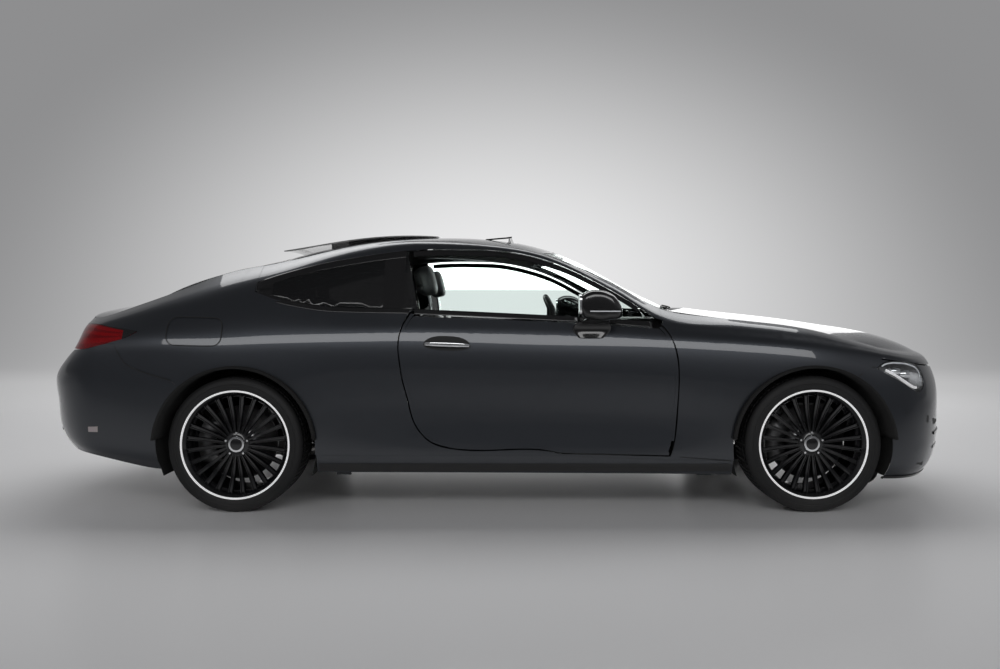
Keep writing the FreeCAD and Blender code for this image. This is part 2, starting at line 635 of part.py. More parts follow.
def at(x):
    """Expression for a place along the car."""
    if x >= drawn_front:
        return "(%s + Sizes.front_overhang * %r)" % (front_text, (x - drawn_front) / (drawn_places[3] - drawn_front))
    if x >= drawn_rear:
        return "(%s + Sizes.wheelbase * %r)" % (rear_text, (x - drawn_rear) / (drawn_front - drawn_rear))
    return "(%s + %s * %r)" % (rear_text, rear_overhang_text, (x - drawn_rear) / (drawn_rear - drawn_places[0]))


def wide(w):
    return "(Sizes.overall_width * %r)" % (w / 1860)


def high(z):
    return "(Sizes.overall_height * %r)" % (z / 1425)


def bind(thing, settings):
    for setting, text in settings.items():
        thing.setExpression(setting, str(text))
    return thing


def put(thing, x, y, z, axis=None, angle=0):
    """Place an object by expressions, turned about one axis."""
    turn = FreeCAD.Rotation(axis, angle) if axis else FreeCAD.Rotation()
    thing.Placement = FreeCAD.Placement(Vector(0, 0, 0), turn)
    return bind(thing, {"Placement.Base.x": x, "Placement.Base.y": y, "Placement.Base.z": z})


def block(name, x0, x1, y0, y1, z0, z1):
    thing = doc.addObject("Part::Box", name)
    spans = {"Length": (x0, x1), "Width": (y0, y1), "Height": (z0, z1)}
    bind(thing, {side: "(%s) - (%s)" % (b, a) for side, (a, b) in spans.items()})
    return put(thing, x0, y0, z0)


turns = {"x": (Vector(0, 1, 0), 90), "y": (Vector(1, 0, 0), -90), "z": (None, 0)}


def bar(name, radius, start, length, way="z"):
    """Cylinder from a start point along +X, +Y or +Z."""
    thing = doc.addObject("Part::Cylinder", name)
    bind(thing, {"Radius": radius, "Height": length})
    return put(thing, *start, *turns[way])


def fused(name, things):
    thing = doc.addObject("Part::MultiFuse", name)
    thing.Shapes = things
    return thing


def cut_by(name, base, tool):
    thing = doc.addObject("Part::Cut", name)
    thing.Base, thing.Tool = base, tool
    return thing


def shared_by(name, first, second):
    thing = doc.addObject("Part::MultiCommon", name)
    thing.Shapes = [first, second]
    return thing


def left_of(name, source):
    """The same piece on the left side of the car."""
    thing = doc.addObject("Part::Mirroring", name)
    thing.Source = source
    thing.Normal = Vector(0, 1, 0)
    return thing


def pair_of(name, source):
    thing = doc.addObject("Part::Compound", name)
    thing.Links = [source, left_of(name + "_left", source)]
    return thing


def solid_of(name, shape):
    thing = doc.addObject("Part::Feature", name)
    thing.Shape = shape.Solids[0] if len(shape.Solids) == 1 else Part.Compound(shape.Solids)
    thing.Placement = FreeCAD.Placement()
    return thing


def part_named(label, thing):
    thing.Label = label
    parts[label] = thing
    return thing


def new_body(name):
    return doc.addObject("PartDesign::Body", name)


def sketch_in(body, name, role):
    sketch = body.newObject("Sketcher::SketchObject", name)
    plane = [f for f in body.Origin.OriginFeatures if f.Role == role][0]
    sketch.AttachmentSupport = [(plane, "")]
    sketch.MapMode = "FlatFace"
    return sketch


def outline_sketch(body, name, role, corners):
    """Closed sketch whose corners are pairs of expressions."""
    sketch = sketch_in(body, name, role)
    count = len(corners)
    points = [Vector(100 * math.cos(2 * math.pi * k / count), 100 * math.sin(2 * math.pi * k / count), 0)
              for k in range(count)]
    for k in range(count):
        sketch.addGeometry(Part.LineSegment(points[k], points[(k + 1) % count]))
    for k in range(count):
        sketch.addConstraint(Sketcher.Constraint("Coincident", k, 2, (k + 1) % count, 1))
    for k, corner in enumerate(corners):
        for kind, text in zip(("DistanceX", "DistanceY"), corner):
            row = sketch.addConstraint(Sketcher.Constraint(kind, -1, 1, k, 1, 0.0))
            sketch.setExpression("Constraints[%d]" % row, str(text))
    return sketch


def circle_sketch(body, name, role, radius, x="0", y="0"):
    sketch = sketch_in(body, name, role)
    sketch.addGeometry(Part.Circle(Vector(0, 0, 0), Vector(0, 0, 1), 10))
    for kind, where, text in (("DistanceX", (-1, 1, 0, 3), x), ("DistanceY", (-1, 1, 0, 3), y), ("Radius", (0,), radius)):
        row = sketch.addConstraint(Sketcher.Constraint(kind, *where, 10.0 if kind == "Radius" else 0.0))
        sketch.setExpression("Constraints[%d]" % row, str(text))
    return sketch


def turned(body, name, sketch, kind="Revolution"):
    """Revolution or Groove about the sketch's own vertical axis."""
    feature = body.newObject("PartDesign::" + kind, name)
    feature.Profile = sketch
    feature.ReferenceAxis = (sketch, ["V_Axis"])
    feature.Angle = 360
    return feature


def padded(body, name, sketch, length, both_ways=False, backwards=False):
    feature = body.newObject("PartDesign::Pad", name)
    feature.Profile = sketch
    if both_ways:
        feature.SideType = "Symmetric"
    feature.Reversed = backwards
    return bind(feature, {"Length": length})


def ring_pattern(body, name, originals, role, count, angle=360):
    pattern = body.newObject("PartDesign::PolarPattern", name)
    pattern.Originals = originals
    pattern.Axis = ([f for f in body.Origin.OriginFeatures if f.Role == role][0], [""])
    pattern.Angle = angle
    bind(pattern, {"Occurrences": count})
    body.Tip = pattern
    return pattern


# Body panels, glass and lamps.
for label, shape in (("door", door), ("door_glass", door_glass), ("quarter_panel", quarter_panel)):
    right = part_named(label + "_right", solid_of(label + "_right", shape))
    part_named(label + "_left", left_of(label + "_left", right))
for label, shape in (("quarter_glass", quarter_glass), ("roof_rails", roof_rail), ("sills", sill), ("wings", wing),
                     ("headlamps", headlamp), ("tail_lamps", tail_lamp)):
    part_named(label, pair_of(label, solid_of(label + "_right", shape)))
liner_things = [solid_of("liner_" + end, shape) for end, shape in zip(("front", "rear"), liners)]
liner_group = doc.addObject("Part::Compound", "arch_liners")
liner_group.Links = liner_things + [left_of(thing.Name + "_left", thing) for thing in liner_things]
part_named("arch_liners", liner_group)
for label, shape in (("windscreen", windscreen), ("roof_panel", roof), ("rear_window", rear_window),
                     ("sunroof_glass", sunroof), ("bonnet", bonnet), ("boot_lid", boot_lid),
                     ("front_bumper", front_bumper), ("rear_bumper", rear_bumper), ("grille", grille)):
    part_named(label, solid_of(label, shape))

# Floor with its tunnel, firewall, rails and the posts that carry the door hinges.
floor_low, sheet_text = "Sizes.floor_height", "Sizes.sheet_thickness"
floor_high = floor_low + " + " + sheet_text
firewall = at(1000)
rail_low = "Sizes.beam_top + Sizes.seat_clearance"
front_end = at(2240)
beam_half, beam_post, beam_deep = "Sizes.bulkhead_half_width", "60", "40"
floor_blocks = [
    block("floor_sheet", at(-900), firewall, "-Sizes.cabin_half_width", "Sizes.cabin_half_width", floor_low, floor_high),
    block("firewall", firewall, firewall + " + " + sheet_text, "-Sizes.cabin_half_width + 60",
          "Sizes.cabin_half_width - 60", floor_low, high(905)),
    block("heel_board", at(-900), at(-900) + " + " + sheet_text, "-Sizes.boot_half_width",
          "Sizes.boot_half_width", floor_low, "Sizes.boot_floor_height - Sizes.seat_clearance"),
    block("tunnel_case", at(-900), firewall + " + " + sheet_text, "-Sizes.tunnel_half_width",
          "Sizes.tunnel_half_width", floor_low, "Sizes.tunnel_top"),
    block("front_beam_low", front_end, front_end + " + " + beam_deep, "-" + beam_half, beam_half,
          high(230), rail_low + " + 30"),
    block("front_beam_high", front_end, front_end + " + " + beam_deep, "-" + beam_half, beam_half, high(600), high(650)),
]
for side, (y0, y1) in {"right": ("-" + beam_half, "-" + beam_half + " + " + beam_post),
                       "left": (beam_half + " - " + beam_post, beam_half)}.items():
    floor_blocks.append(block("front_post_" + side, front_end, front_end + " + " + beam_deep, y0, y1, high(230), high(650)))
for side, y0 in (("right", "-Sizes.rail_inner - Sizes.rail_width"), ("left", "Sizes.rail_inner")):
    floor_blocks.append(block("front_rail_" + side, firewall, front_end + " + " + beam_deep, y0,
                              y0 + " + Sizes.rail_width", rail_low, rail_low + " + Sizes.rail_height"))
hinge_post = box(hinge_x + 62, along(1000) + 20, -across(838), -across(715), up(290), up(800))
hinge_right = solid_of("hinge_post_right", hinge_post.fuse(hinges))
floor_blocks += [hinge_right, left_of("hinge_post_left", hinge_right)]
tunnel_room = block("tunnel_room", at(-900) + " - 20", firewall + " + 2 * " + sheet_text,
                    "-Sizes.tunnel_half_width + Sizes.tunnel_wall", "Sizes.tunnel_half_width - Sizes.tunnel_wall",
                    "0", "Sizes.tunnel_top - Sizes.tunnel_wall")
part_named("floor_pan", cut_by("floor_pan", fused("floor_blocks", floor_blocks), tunnel_room))

# Boot floor, seat bulkhead, parcel shelf and rear wall.
bulkhead = at(-1180)
boot_low = "Sizes.boot_floor_height"
boot_high = boot_low + " + " + sheet_text
boot_blocks = [
    block("boot_sheet", at(-2180), at(-900) + " - Sizes.seat_clearance", "-Sizes.boot_half_width", "Sizes.boot_half_width", boot_low, boot_high),
    block("bulkhead", bulkhead, bulkhead + " + " + sheet_text, "-" + beam_half, beam_half, boot_low, high(985)),
    block("parcel_shelf", at(-1690), bulkhead + " + " + sheet_text, "-" + beam_half + " + 20", beam_half + " - 20",
          high(985), high(985) + " + " + sheet_text),
    block("boot_wall", at(-2200), at(-2180), "-" + beam_half, beam_half, boot_low, high(700)),
]
part_named("boot_floor", fused("boot_floor", boot_blocks))

# Wheel and axle places. Wheel faces lie at one distance from the middle plane.
kingpin_y = "-Sizes.kingpin_offset"
disc_low = "(-Sizes.wheel_face_offset + Sizes.disc_offset)"
disc_high = "(-Sizes.wheel_face_offset + Sizes.disc_offset + Sizes.disc_thickness)"
hub_end = "(%s - 48)" % disc_low
bearing_text = "Sizes.bearing_clearance"
ends = {
    "front": {"x": front_text, "radius": "Sizes.front_tyre_radius", "width": "Sizes.front_tyre_width"},
    "rear": {"x": rear_text, "radius": "Sizes.rear_tyre_radius", "width": "Sizes.rear_tyre_width"},
}
for end in ends.values():
    end["y"] = "(-Sizes.wheel_face_offset + %s / 2)" % end["width"]


def offset_text(base, shift):
    return "%s + %s" % (base, shift) if not str(shift).startswith("-") else "%s - %s" % (base, str(shift)[1:])


def upright_things(end_name, z_low, z_high):
    """Upright, spindle, caliper bracket and slotted caliper of one right-hand wheel."""
    end = ends[end_name]
    x, z = end["x"], end["radius"]
    name = end_name + "_upright"
    upright = block(name, x + " - 45", x + " + 45", disc_high + " + 14", kingpin_y + " + 30", z_low, z_high)
    spindle = bar(name + "_spindle", "Sizes.spindle_radius", (x, hub_end, z), "%s + 24 - %s" % (disc_high, hub_end), "y")
    ear = block(name + "_ear", x + " - 190", x, disc_high + " + 14", disc_high + " + 26", z + " - 30", z + " + 30")
    start = (x, disc_low + " - 22", z)
    length = "Sizes.disc_thickness + 48"
    ring = cut_by(name + "_ring", bar(name + "_saddle", "Sizes.disc_radius + 22", start, length, "y"),
                  bar(name + "_saddle_bore", "Sizes.disc_radius - 62", start, length, "y"))
    sector = block(name + "_sector", x + " - 260", x + " - 80", disc_low + " - 60", disc_high + " + 60",
                   z + " - 95", z + " + 105")
    slot_start = (x, disc_low + " - Sizes.caliper_clearance", z)
    slot_length = "Sizes.disc_thickness + 2 * Sizes.caliper_clearance"
    slot = cut_by(name + "_slot", bar(name + "_slot_outer", "Sizes.disc_radius + 6", slot_start, slot_length, "y"),
                  bar(name + "_slot_bore", "Sizes.disc_radius - 90", slot_start, slot_length, "y"))
    caliper = cut_by(name + "_caliper", shared_by(name + "_half_ring", ring, sector), slot)
    return [upright, spindle, ear, caliper]


# Front steering knuckles, each with bores for its two kingpins.
lower_low = "(Sizes.front_tyre_radius - 152)"
lower_high = "(Sizes.front_tyre_radius - 130)"
upper_low = "(Sizes.front_tyre_radius + 136)"
upper_high = "(Sizes.front_tyre_radius + 158)"
knuckle_low, knuckle_high = lower_high + " + Sizes.moving_gap", upper_low + " - Sizes.moving_gap"
knuckle = fused("knuckle_blank", upright_things("front", knuckle_low, knuckle_high))
pin_bores = [bar("kingpin_bore_low", "Sizes.kingpin_radius + " + bearing_text, (front_text, kingpin_y, knuckle_low + " - 1"),
                 "42", "z"),
             bar("kingpin_bore_high", "Sizes.kingpin_radius + " + bearing_text, (front_text, kingpin_y, upper_low + " - 48"),
                 "48", "z")]
knuckle = part_named("knuckle_right", cut_by("knuckle_right", knuckle, fused("kingpin_bores", pin_bores)))
part_named("knuckle_left", left_of("knuckle_left", knuckle))


def arm_plate(name, z, y_out, y_in, narrow, wide_half, x):
    """Flat suspension arm, narrow at the wheel and wide at its root."""
    body = new_body(name)
    shoulder_y = "%s + 215" % y_out
    corners = [(-narrow, y_out), (narrow, y_out), (narrow, shoulder_y), (wide_half, y_in),
               (-wide_half, y_in), (-narrow, shoulder_y)]
    padded(body, name + "_pad", outline_sketch(body, name + "_outline", "XY_Plane", corners), "22")
    return put(body, x, "0", z)


# Front axle: a crossmember with lower arms, and upper arms on the front rails.
lower_arm = arm_plate("lower_arm", lower_low, kingpin_y + " - 18", "-380", 24, 110, front_text)
lower_pin = bar("lower_kingpin", "Sizes.kingpin_radius", (front_text, kingpin_y, lower_low + " + 10"), "56")
lower_side = fused("lower_side", [lower_arm, lower_pin])
crossmember = block("crossmember", front_text + " - 80", front_text + " + 80", "-420", "420",
                    lower_high + " - 12", "Sizes.beam_top")
lower_axle = fused("lower_axle", [crossmember, lower_side, left_of("lower_side_left", lower_side)])
upper_arm = arm_plate("upper_arm", upper_low, kingpin_y + " - 18", "-Sizes.rail_inner - 10", 24, 60, front_text)
upper_pin = bar("upper_kingpin", "Sizes.kingpin_radius", (front_text, kingpin_y, upper_low + " - 44"), "54")
upper_foot = block("upper_foot", front_text + " - 60", front_text + " + 60", "-Sizes.rail_inner - Sizes.rail_width",
                   "-Sizes.rail_inner", rail_low + " + Sizes.rail_height + Sizes.seat_clearance", upper_high)
upper_side = fused("upper_side", [upper_arm, upper_pin, upper_foot])
front_axle_group = doc.addObject("Part::Compound", "front_axle")
front_axle_group.Links = [lower_axle, upper_side, left_of("upper_side_left", upper_side)]
part_named("front_axle", front_axle_group)

# Rear axle: a subframe with fixed uprights on two arms each side.
rear_low, rear_high = "Sizes.rear_tyre_radius - 120", "Sizes.rear_tyre_radius + 115"
rear_side = upright_things("rear", rear_low, rear_high)
for name, z, thick, half_deep in (("rear_arm_low", "Sizes.rear_tyre_radius - 118", "34", "34"),
                                  ("rear_arm_high", "Sizes.rear_tyre_radius - 40", "24", "26")):
    rear_side.append(block(name, rear_text + " - " + half_deep, rear_text + " + " + half_deep,
                           kingpin_y + " + 20", "-430", z, z + " + " + thick))
rear_side = fused("rear_side", rear_side)
subframe = block("subframe", rear_text + " - 90", rear_text + " + 90", "-440", "440", high(232),
                 boot_low + " - Sizes.seat_clearance")
part_named("rear_axle", fused("rear_axle", [subframe, rear_side, left_of("rear_side_left", rear_side)]))


# Wheels, each drawn about its own axle: X is the radius, Y runs along the axle.
def tyre_body(name, end):
    body = new_body(name)
    radius, half = end["radius"], end["width"] + " / 2"
    wall = "(%s - Sizes.bead_radius) * 0.33" % radius
    low, high_r = "Sizes.bead_radius + " + wall, "%s - %s" % (radius, wall)
    corners = [("Sizes.bead_radius", "-%s + 20" % half), (low, "-" + half), (high_r, "-" + half),
               (radius, "-%s + 26" % half), (radius, half + " - 26"), (high_r, half), (low, half),
               ("Sizes.bead_radius", half + " - 20")]
    turned(body, name + "_turned", outline_sketch(body, name + "_profile", "XY_Plane", corners))
    return body


def rim_body(name, end):
    """Dished barrel, hub with a capped middle and bolt pockets, and ribbed spokes."""
    body = new_body(name)
    half = end["width"] + " / 2"
    edge, barrel = "Sizes.rim_edge_radius", "Sizes.barrel_radius"
    seat = "Sizes.bead_radius - Sizes.seat_clearance"
    face = "-%s + Sizes.hub_recess" % half
    barrel_corners = [(seat, "-%s + 19" % half), (edge + " - 4", "-%s + 9" % half), (edge, "-" + half),
                      (edge + " - 8", "-" + half), (barrel + " + Sizes.barrel_wall", "-%s + 34" % half),
                      (barrel, "-%s + 60" % half), (barrel, half + " - 12"), (edge + " - 4", half + " - 2"),
                      (seat, half + " - 19")]
    turned(body, name + "_barrel", outline_sketch(body, name + "_barrel_profile", "XY_Plane", barrel_corners))
    hub_corners = [("0", face), ("Sizes.cap_radius", face), ("Sizes.cap_radius + 4", face + " + 8"),
                   ("Sizes.hub_radius", face + " + 12"), ("Sizes.hub_radius", face + " + Sizes.hub_depth"),
                   ("0", face + " + Sizes.hub_depth")]
    turned(body, name + "_hub", outline_sketch(body, name + "_hub_profile", "XY_Plane", hub_corners))
    root, reach = "Sizes.hub_radius - 8", barrel + " + 12"
    spoke_corners = [(root, face + " + 10"), (reach, "-%s + 24" % half),
                     (reach, "-%s + 24 + Sizes.spoke_depth" % half), (root, face + " + 10 + Sizes.spoke_depth")]
    spoke = padded(body, name + "_spoke", outline_sketch(body, name + "_spoke_side", "XY_Plane", spoke_corners),
                   "Sizes.spoke_width", both_ways=True)
    rib_corners = [(root, face + " + 10 - Sizes.spoke_rib"), (reach, "-%s + 24 - Sizes.spoke_rib" % half),
                   (reach, "-%s + 26" % half), (root, face + " + 12")]
    rib = padded(body, name + "_rib", outline_sketch(body, name + "_rib_side", "XY_Plane", rib_corners),
                 "Sizes.spoke_rib_width", both_ways=True)
    ring_pattern(body, name + "_spokes", [spoke, rib], "Y_Axis", "Sizes.spoke_count")
    bore = "Sizes.spindle_radius + " + bearing_text
    bore_start = "%s - Sizes.moving_gap - %s" % (hub_end, end["y"])
    turned(body, name + "_bore", outline_sketch(body, name + "_bore_profile", "XY_Plane",
           [("0", bore_start), (bore, bore_start), (bore, half), ("0", half)]), "Groove")
    pocket_low = face + " + 4"
    pocket_r = "Sizes.bolt_radius"
    middle = "Sizes.bolt_circle_radius + Sizes.cap_radius / 8"
    pocket = body.newObject("PartDesign::Pocket", name + "_bolt_pocket")
    pocket.Profile = outline_sketch(body, name + "_bolt_side", "XY_Plane", [
        (middle + " - " + pocket_r, pocket_low), (middle + " + " + pocket_r, pocket_low),
        (middle + " + " + pocket_r, pocket_low + " + 22"), (middle + " - " + pocket_r, pocket_low + " + 22")])
    pocket.SideType = "Symmetric"
    bind(pocket, {"Length": "2 * Sizes.bolt_radius"})
    ring_pattern(body, name + "_bolt_pockets", [pocket], "Y_Axis", "Sizes.bolt_count")
    return body


def disc_body(name, end):
    body = new_body(name)
    y0, y1 = "%s - %s" % (disc_low, end["y"]), "%s - %s" % (disc_high, end["y"])
    face = "-%s / 2 + Sizes.hub_recess + Sizes.hub_depth + Sizes.seat_clearance" % end["width"]
    bore, bell = "Sizes.spindle_radius + " + bearing_text, "Sizes.disc_bell_radius"
    inside = bell + " - Sizes.disc_bell_wall"
    corners = [(bore, face), (bell, face), (bell, y0), ("Sizes.disc_radius", y0), ("Sizes.disc_radius", y1),
               (inside, y1), (inside, face + " + Sizes.disc_bell_wall"), (bore, face + " + Sizes.disc_bell_wall")]
    turned(body, name + "_turned", outline_sketch(body, name + "_profile", "XY_Plane", corners))
    return body


for end_name, end in ends.items():
    for kind, maker in (("tyre", tyre_body), ("rim", rim_body), ("disc", disc_body)):
        label = "%s_%s_right" % (kind, end_name)
        right = part_named(label, put(maker(label, end), end["x"], end["y"], end["radius"]))
        label = "%s_%s_left" % (kind, end_name)
        part_named(label, left_of(label, right))

# Engine, and the exhaust with its box and four tips.
part_named("engine_block", block("engine_block", front_text + " - 380", front_text + " - 380 + Sizes.engine_length",
                                 "-Sizes.engine_width / 2", "Sizes.engine_width / 2", rail_low, high(800)))
muffler_end = at(-1760)
tip_z = "Sizes.tip_height"
exhaust_things = [
    block("muffler", muffler_end + " - Sizes.muffler_length", muffler_end, "-Sizes.muffler_width / 2",
          "Sizes.muffler_width / 2", high(225), boot_low + " - Sizes.seat_clearance"),
    bar("pipe", "Sizes.pipe_radius", (at(-1800), "0", "Sizes.pipe_height"), "%s - %s" % (at(1000), at(-1800)), "x"),
    bar("pipe_riser", "Sizes.pipe_radius", (at(-1790), "0", "Sizes.pipe_height - 10"), high(225) + " + 20 - Sizes.pipe_height"),
]
for k, y in enumerate((-520, -420, 420, 520)):
    inner_y = y - 50 if y > 0 else y + 50
    tip = bar("tip_%d" % k, "Sizes.tip_radius", (at(-2230), wide(y), tip_z), "150", "x")
    hollow = bar("tip_hollow_%d" % k, "Sizes.tip_radius - Sizes.tip_wall", (at(-2230) + " - 1", wide(y), tip_z), "131", "x")
    stub = bar("tip_stub_%d" % k, "Sizes.pipe_radius - 6", (at(-2150), wide(inner_y), tip_z),
               "%s - Sizes.muffler_length + 40 - (%s)" % (muffler_end, at(-2150)), "x")
    exhaust_things += [cut_by("tip_pipe_%d" % k, tip, hollow), stub]
part_named("exhaust", fused("exhaust", exhaust_things))

# Dashboard, steering wheel and seats.
dash_outline = ((998, 560), (998, 925), (930, 962), (680, 960), (620, 915), (640, 760), (760, 640), (780, 560))
dash = new_body("dash_shell")
padded(dash, "dash_pad", outline_sketch(dash, "dash_side", "XZ_Plane", [(at(x), high(z)) for x, z in dash_outline]),
       "Sizes.dashboard_width", both_ways=True)
column_x, column_z = at(367), "Sizes.steering_wheel_height"
column_bore = bar("column_bore", "Sizes.column_radius + " + bearing_text, ("0", "0", "0"), "366")
column_turn = {"Placement.Base.x": column_x, "Placement.Base.y": "Sizes.driver_side",
               "Placement.Base.z": column_z, "Placement.Rotation.Angle": "90 + Sizes.column_angle"}
column_bore.Placement = FreeCAD.Placement(Vector(0, 0, 0), FreeCAD.Rotation(Vector(0, 1, 0), 115))
bind(column_bore, column_turn)
part_named("dashboard", cut_by("dashboard", dash, column_bore))

wheel = new_body("steering_wheel")
grip_text, rim_text = "Sizes.steering_wheel_grip", "Sizes.steering_wheel_radius"
grip_corners = [("%s + %s * %r" % (rim_text, grip_text, round(math.cos(math.radians(a)), 3)),
                 "%s * %r" % (grip_text, round(math.sin(math.radians(a)), 3))) for a in range(0, 360, 45)]
turned(wheel, "grip", outline_sketch(wheel, "grip_profile", "XZ_Plane", grip_corners))
padded(wheel, "boss", circle_sketch(wheel, "boss_circle", "XY_Plane", "Sizes.boss_radius"), "60")
padded(wheel, "column", circle_sketch(wheel, "column_circle", "XY_Plane", "Sizes.column_radius"), "360")
spoke_arm = padded(wheel, "spoke_arm", outline_sketch(wheel, "spoke_outline", "XY_Plane", [
    ("-17", "0"), ("17", "0"), ("17", "-" + rim_text), ("-17", "-" + rim_text)]), "14")
ring_pattern(wheel, "spoke_arms", [spoke_arm], "Z_Axis", "3", 180)
wheel.Placement = FreeCAD.Placement(Vector(0, 0, 0), FreeCAD.Rotation(Vector(0, 1, 0), 115))
part_named("steering_wheel", bind(wheel, column_turn))

seat_low = "Sizes.floor_height + Sizes.sheet_thickness + Sizes.seat_clearance"
seat_outline = ((-230, 0), (300, 0), (330, 270), (300, 330), (-120, 300), (-170, 420), (-275, 760), (-295, 935),
                (-330, 1050), (-420, 1045), (-440, 930), (-400, 740), (-330, 330), (-290, 200))
seat = new_body("front_seat")
seat_corners = [(at(x), "%s + %s" % (seat_low, high(z))) for x, z in seat_outline]
padded(seat, "seat_pad", outline_sketch(seat, "seat_side", "XZ_Plane", seat_corners), "Sizes.seat_width", both_ways=True)
put(seat, "0", "-Sizes.driver_side", "0")
part_named("front_seats", pair_of("front_seats", seat))

rear_seat_low = boot_high + " + Sizes.seat_clearance"
rear_outline = ((-870, 0), (-640, 0), (-600, 118), (-640, 168), (-900, 148), (-1060, 578), (-1150, 608), (-1155, 0))
rear_seat = new_body("rear_seat")
rear_corners = [(at(x), "%s + %s" % (rear_seat_low, high(z))) for x, z in rear_outline]
padded(rear_seat, "rear_seat_pad", outline_sketch(rear_seat, "rear_seat_side", "XZ_Plane", rear_corners),
       "Sizes.rear_seat_width", both_ways=True)
tunnel_half = "Sizes.tunnel_half_width + Sizes.seat_clearance"
groove = rear_seat.newObject("PartDesign::Pocket", "tunnel_groove")
groove.Profile = outline_sketch(rear_seat, "tunnel_outline", "YZ_Plane", [
    ("-(%s)" % tunnel_half, "0"), (tunnel_half, "0"), (tunnel_half, "Sizes.tunnel_top + Sizes.seat_clearance"),
    ("-(%s)" % tunnel_half, "Sizes.tunnel_top + Sizes.seat_clearance")])
groove.SideType = "Symmetric"
bind(groove, {"Length": "Sizes.overall_length"})
part_named("rear_seat", rear_seat)

# Door mirrors: a faceted housing on a foot at the corner of the window.
mirror_sections = (  # half width: outline of place and height
    (860, ((385, 905), (560, 893), (575, 940), (560, 958), (400, 962), (380, 940))),
    (905, ((400, 962), (560, 958), (590, 985), (588, 1030), (430, 1034), (404, 990))),
    (950, ((402, 972), (545, 960), (600, 1000), (598, 1070), (470, 1100), (398, 1070))),
    (1016, ((415, 985), (530, 975), (585, 1010), (578, 1062), (475, 1082), (412, 1060))),
)
mirror_wires = [Part.makePolygon([spot(x, w, z) for x, z in ring + ring[:1]]) for w, ring in mirror_sections]
mirror = Part.makeLoft(mirror_wires, True, True)
mirror = kept_off(mirror, door, seat_clearance)
mirror = kept_off(mirror, door_glass, seat_clearance)
right = part_named("mirror_right", solid_of("mirror_right", mirror))
part_named("mirror_left", left_of("mirror_left", right))

doc.recompute()
for thing in doc.Objects:
    if "Invalid" in thing.State or "Error" in thing.State:
        raise SystemExit("failed object: " + thing.Label)
for label, thing in parts.items():
    if thing.Shape.isNull() or not thing.Shape.isValid() or not thing.Shape.Solids:
        raise SystemExit("bad shape: " + label)
os.makedirs("parts", exist_ok=True)
for label, thing in parts.items():
    thing.Shape.exportStep("parts/" + label + ".step")
    print(label, len(thing.Shape.Solids), "solids,", round(thing.Shape.Volume / 1e6, 3), "litres")
print("bonnet hinge at", bonnet_hinge, "and boot hinge at", boot_hinge)
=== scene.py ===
import json
import math

import bmesh
import bpy
from mathutils import Matrix, Vector

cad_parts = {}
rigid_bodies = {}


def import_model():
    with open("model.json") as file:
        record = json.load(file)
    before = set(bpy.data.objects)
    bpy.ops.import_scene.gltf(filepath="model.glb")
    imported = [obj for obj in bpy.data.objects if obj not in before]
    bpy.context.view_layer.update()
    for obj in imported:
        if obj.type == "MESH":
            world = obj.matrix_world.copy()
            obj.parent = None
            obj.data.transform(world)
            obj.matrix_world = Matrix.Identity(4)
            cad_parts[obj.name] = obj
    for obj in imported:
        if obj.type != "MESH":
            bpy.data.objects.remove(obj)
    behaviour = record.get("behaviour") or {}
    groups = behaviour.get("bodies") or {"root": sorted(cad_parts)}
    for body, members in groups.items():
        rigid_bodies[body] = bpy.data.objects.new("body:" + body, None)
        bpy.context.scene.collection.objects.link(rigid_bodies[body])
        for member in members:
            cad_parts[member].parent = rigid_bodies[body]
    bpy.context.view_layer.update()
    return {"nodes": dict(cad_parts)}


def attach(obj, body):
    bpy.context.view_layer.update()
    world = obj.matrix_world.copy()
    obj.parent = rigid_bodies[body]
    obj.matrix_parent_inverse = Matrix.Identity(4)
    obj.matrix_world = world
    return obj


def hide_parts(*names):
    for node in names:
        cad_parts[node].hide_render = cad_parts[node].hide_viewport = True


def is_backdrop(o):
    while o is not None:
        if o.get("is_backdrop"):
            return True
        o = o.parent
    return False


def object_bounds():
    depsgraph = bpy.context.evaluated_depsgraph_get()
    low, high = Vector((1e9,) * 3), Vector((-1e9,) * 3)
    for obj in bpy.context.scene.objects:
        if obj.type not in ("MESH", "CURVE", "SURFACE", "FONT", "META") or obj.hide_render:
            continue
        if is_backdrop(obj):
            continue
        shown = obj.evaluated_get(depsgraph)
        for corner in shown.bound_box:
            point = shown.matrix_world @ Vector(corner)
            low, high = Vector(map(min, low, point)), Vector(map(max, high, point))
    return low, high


for leftOver in list(bpy.data.objects):
    bpy.data.objects.remove(leftOver)
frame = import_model()
nodes = frame["nodes"]
scene = bpy.context.scene
scene.view_settings.view_transform = "Standard"

# The studio: camera, floor, backdrop and lamps.
studio = {
    "cameraPlace": (0.0045, -5.495, 1.010),
    "cameraLens": 33.4,
    "cameraTilt": -1.57,
    # Painted light on the stage: the floor darkens towards the camera as painted shade, and the glowing wall
    # is a painted pool of light, pale in the middle and darker towards its edges.
    "floorColor": (0.80, 0.80, 0.805, 1),
    "floorPaintedShade": (0.24, 0.24, 0.243, 1),
    "backdropLitMiddle": (0.84, 0.84, 0.845, 1),
    "backdropShadedEdge": (0.27, 0.27, 0.275, 1),
    "skyShades": ((0.0, 0.02), (0.50, 0.10), (0.56, 0.14), (0.64, 0.30), (0.76, 0.16), (1.0, 0.06)),
    "worldStrength": 1.0,
    "backdropRoughness": 0.32,
    "glowShift": (0, 0, -0.2),
    "glowSpread": (0.085, 0, 0.14),
    "wallFade": (1.6, 7.5),
    "darkFloorEnds": (-5.0, -1.9),
    "sweepStart": 10,
    "sweepRadius": 4,
    # Softboxes: place, aim, width, length and power.
    "top": ((0, 2.2, 5.4), (0, -0.6, 0), 8.0, 2.6, 170),
    "side": ((0, -7.5, 4.2), (0, 0, 0.9), 10.0, 1.9, 190),
    "far": ((0, 6.5, 2.9), (0, 0, 1.0), 9.5, 3.4, 240),
    "front": ((3.4, 6.5, 2.6), (1.5, 0, 0.95), 2.8, 3.2, 34),
}


def deselectAll():
    if bpy.context.mode != "OBJECT":
        bpy.ops.object.mode_set(mode="OBJECT")
    bpy.ops.object.select_all(action="DESELECT")


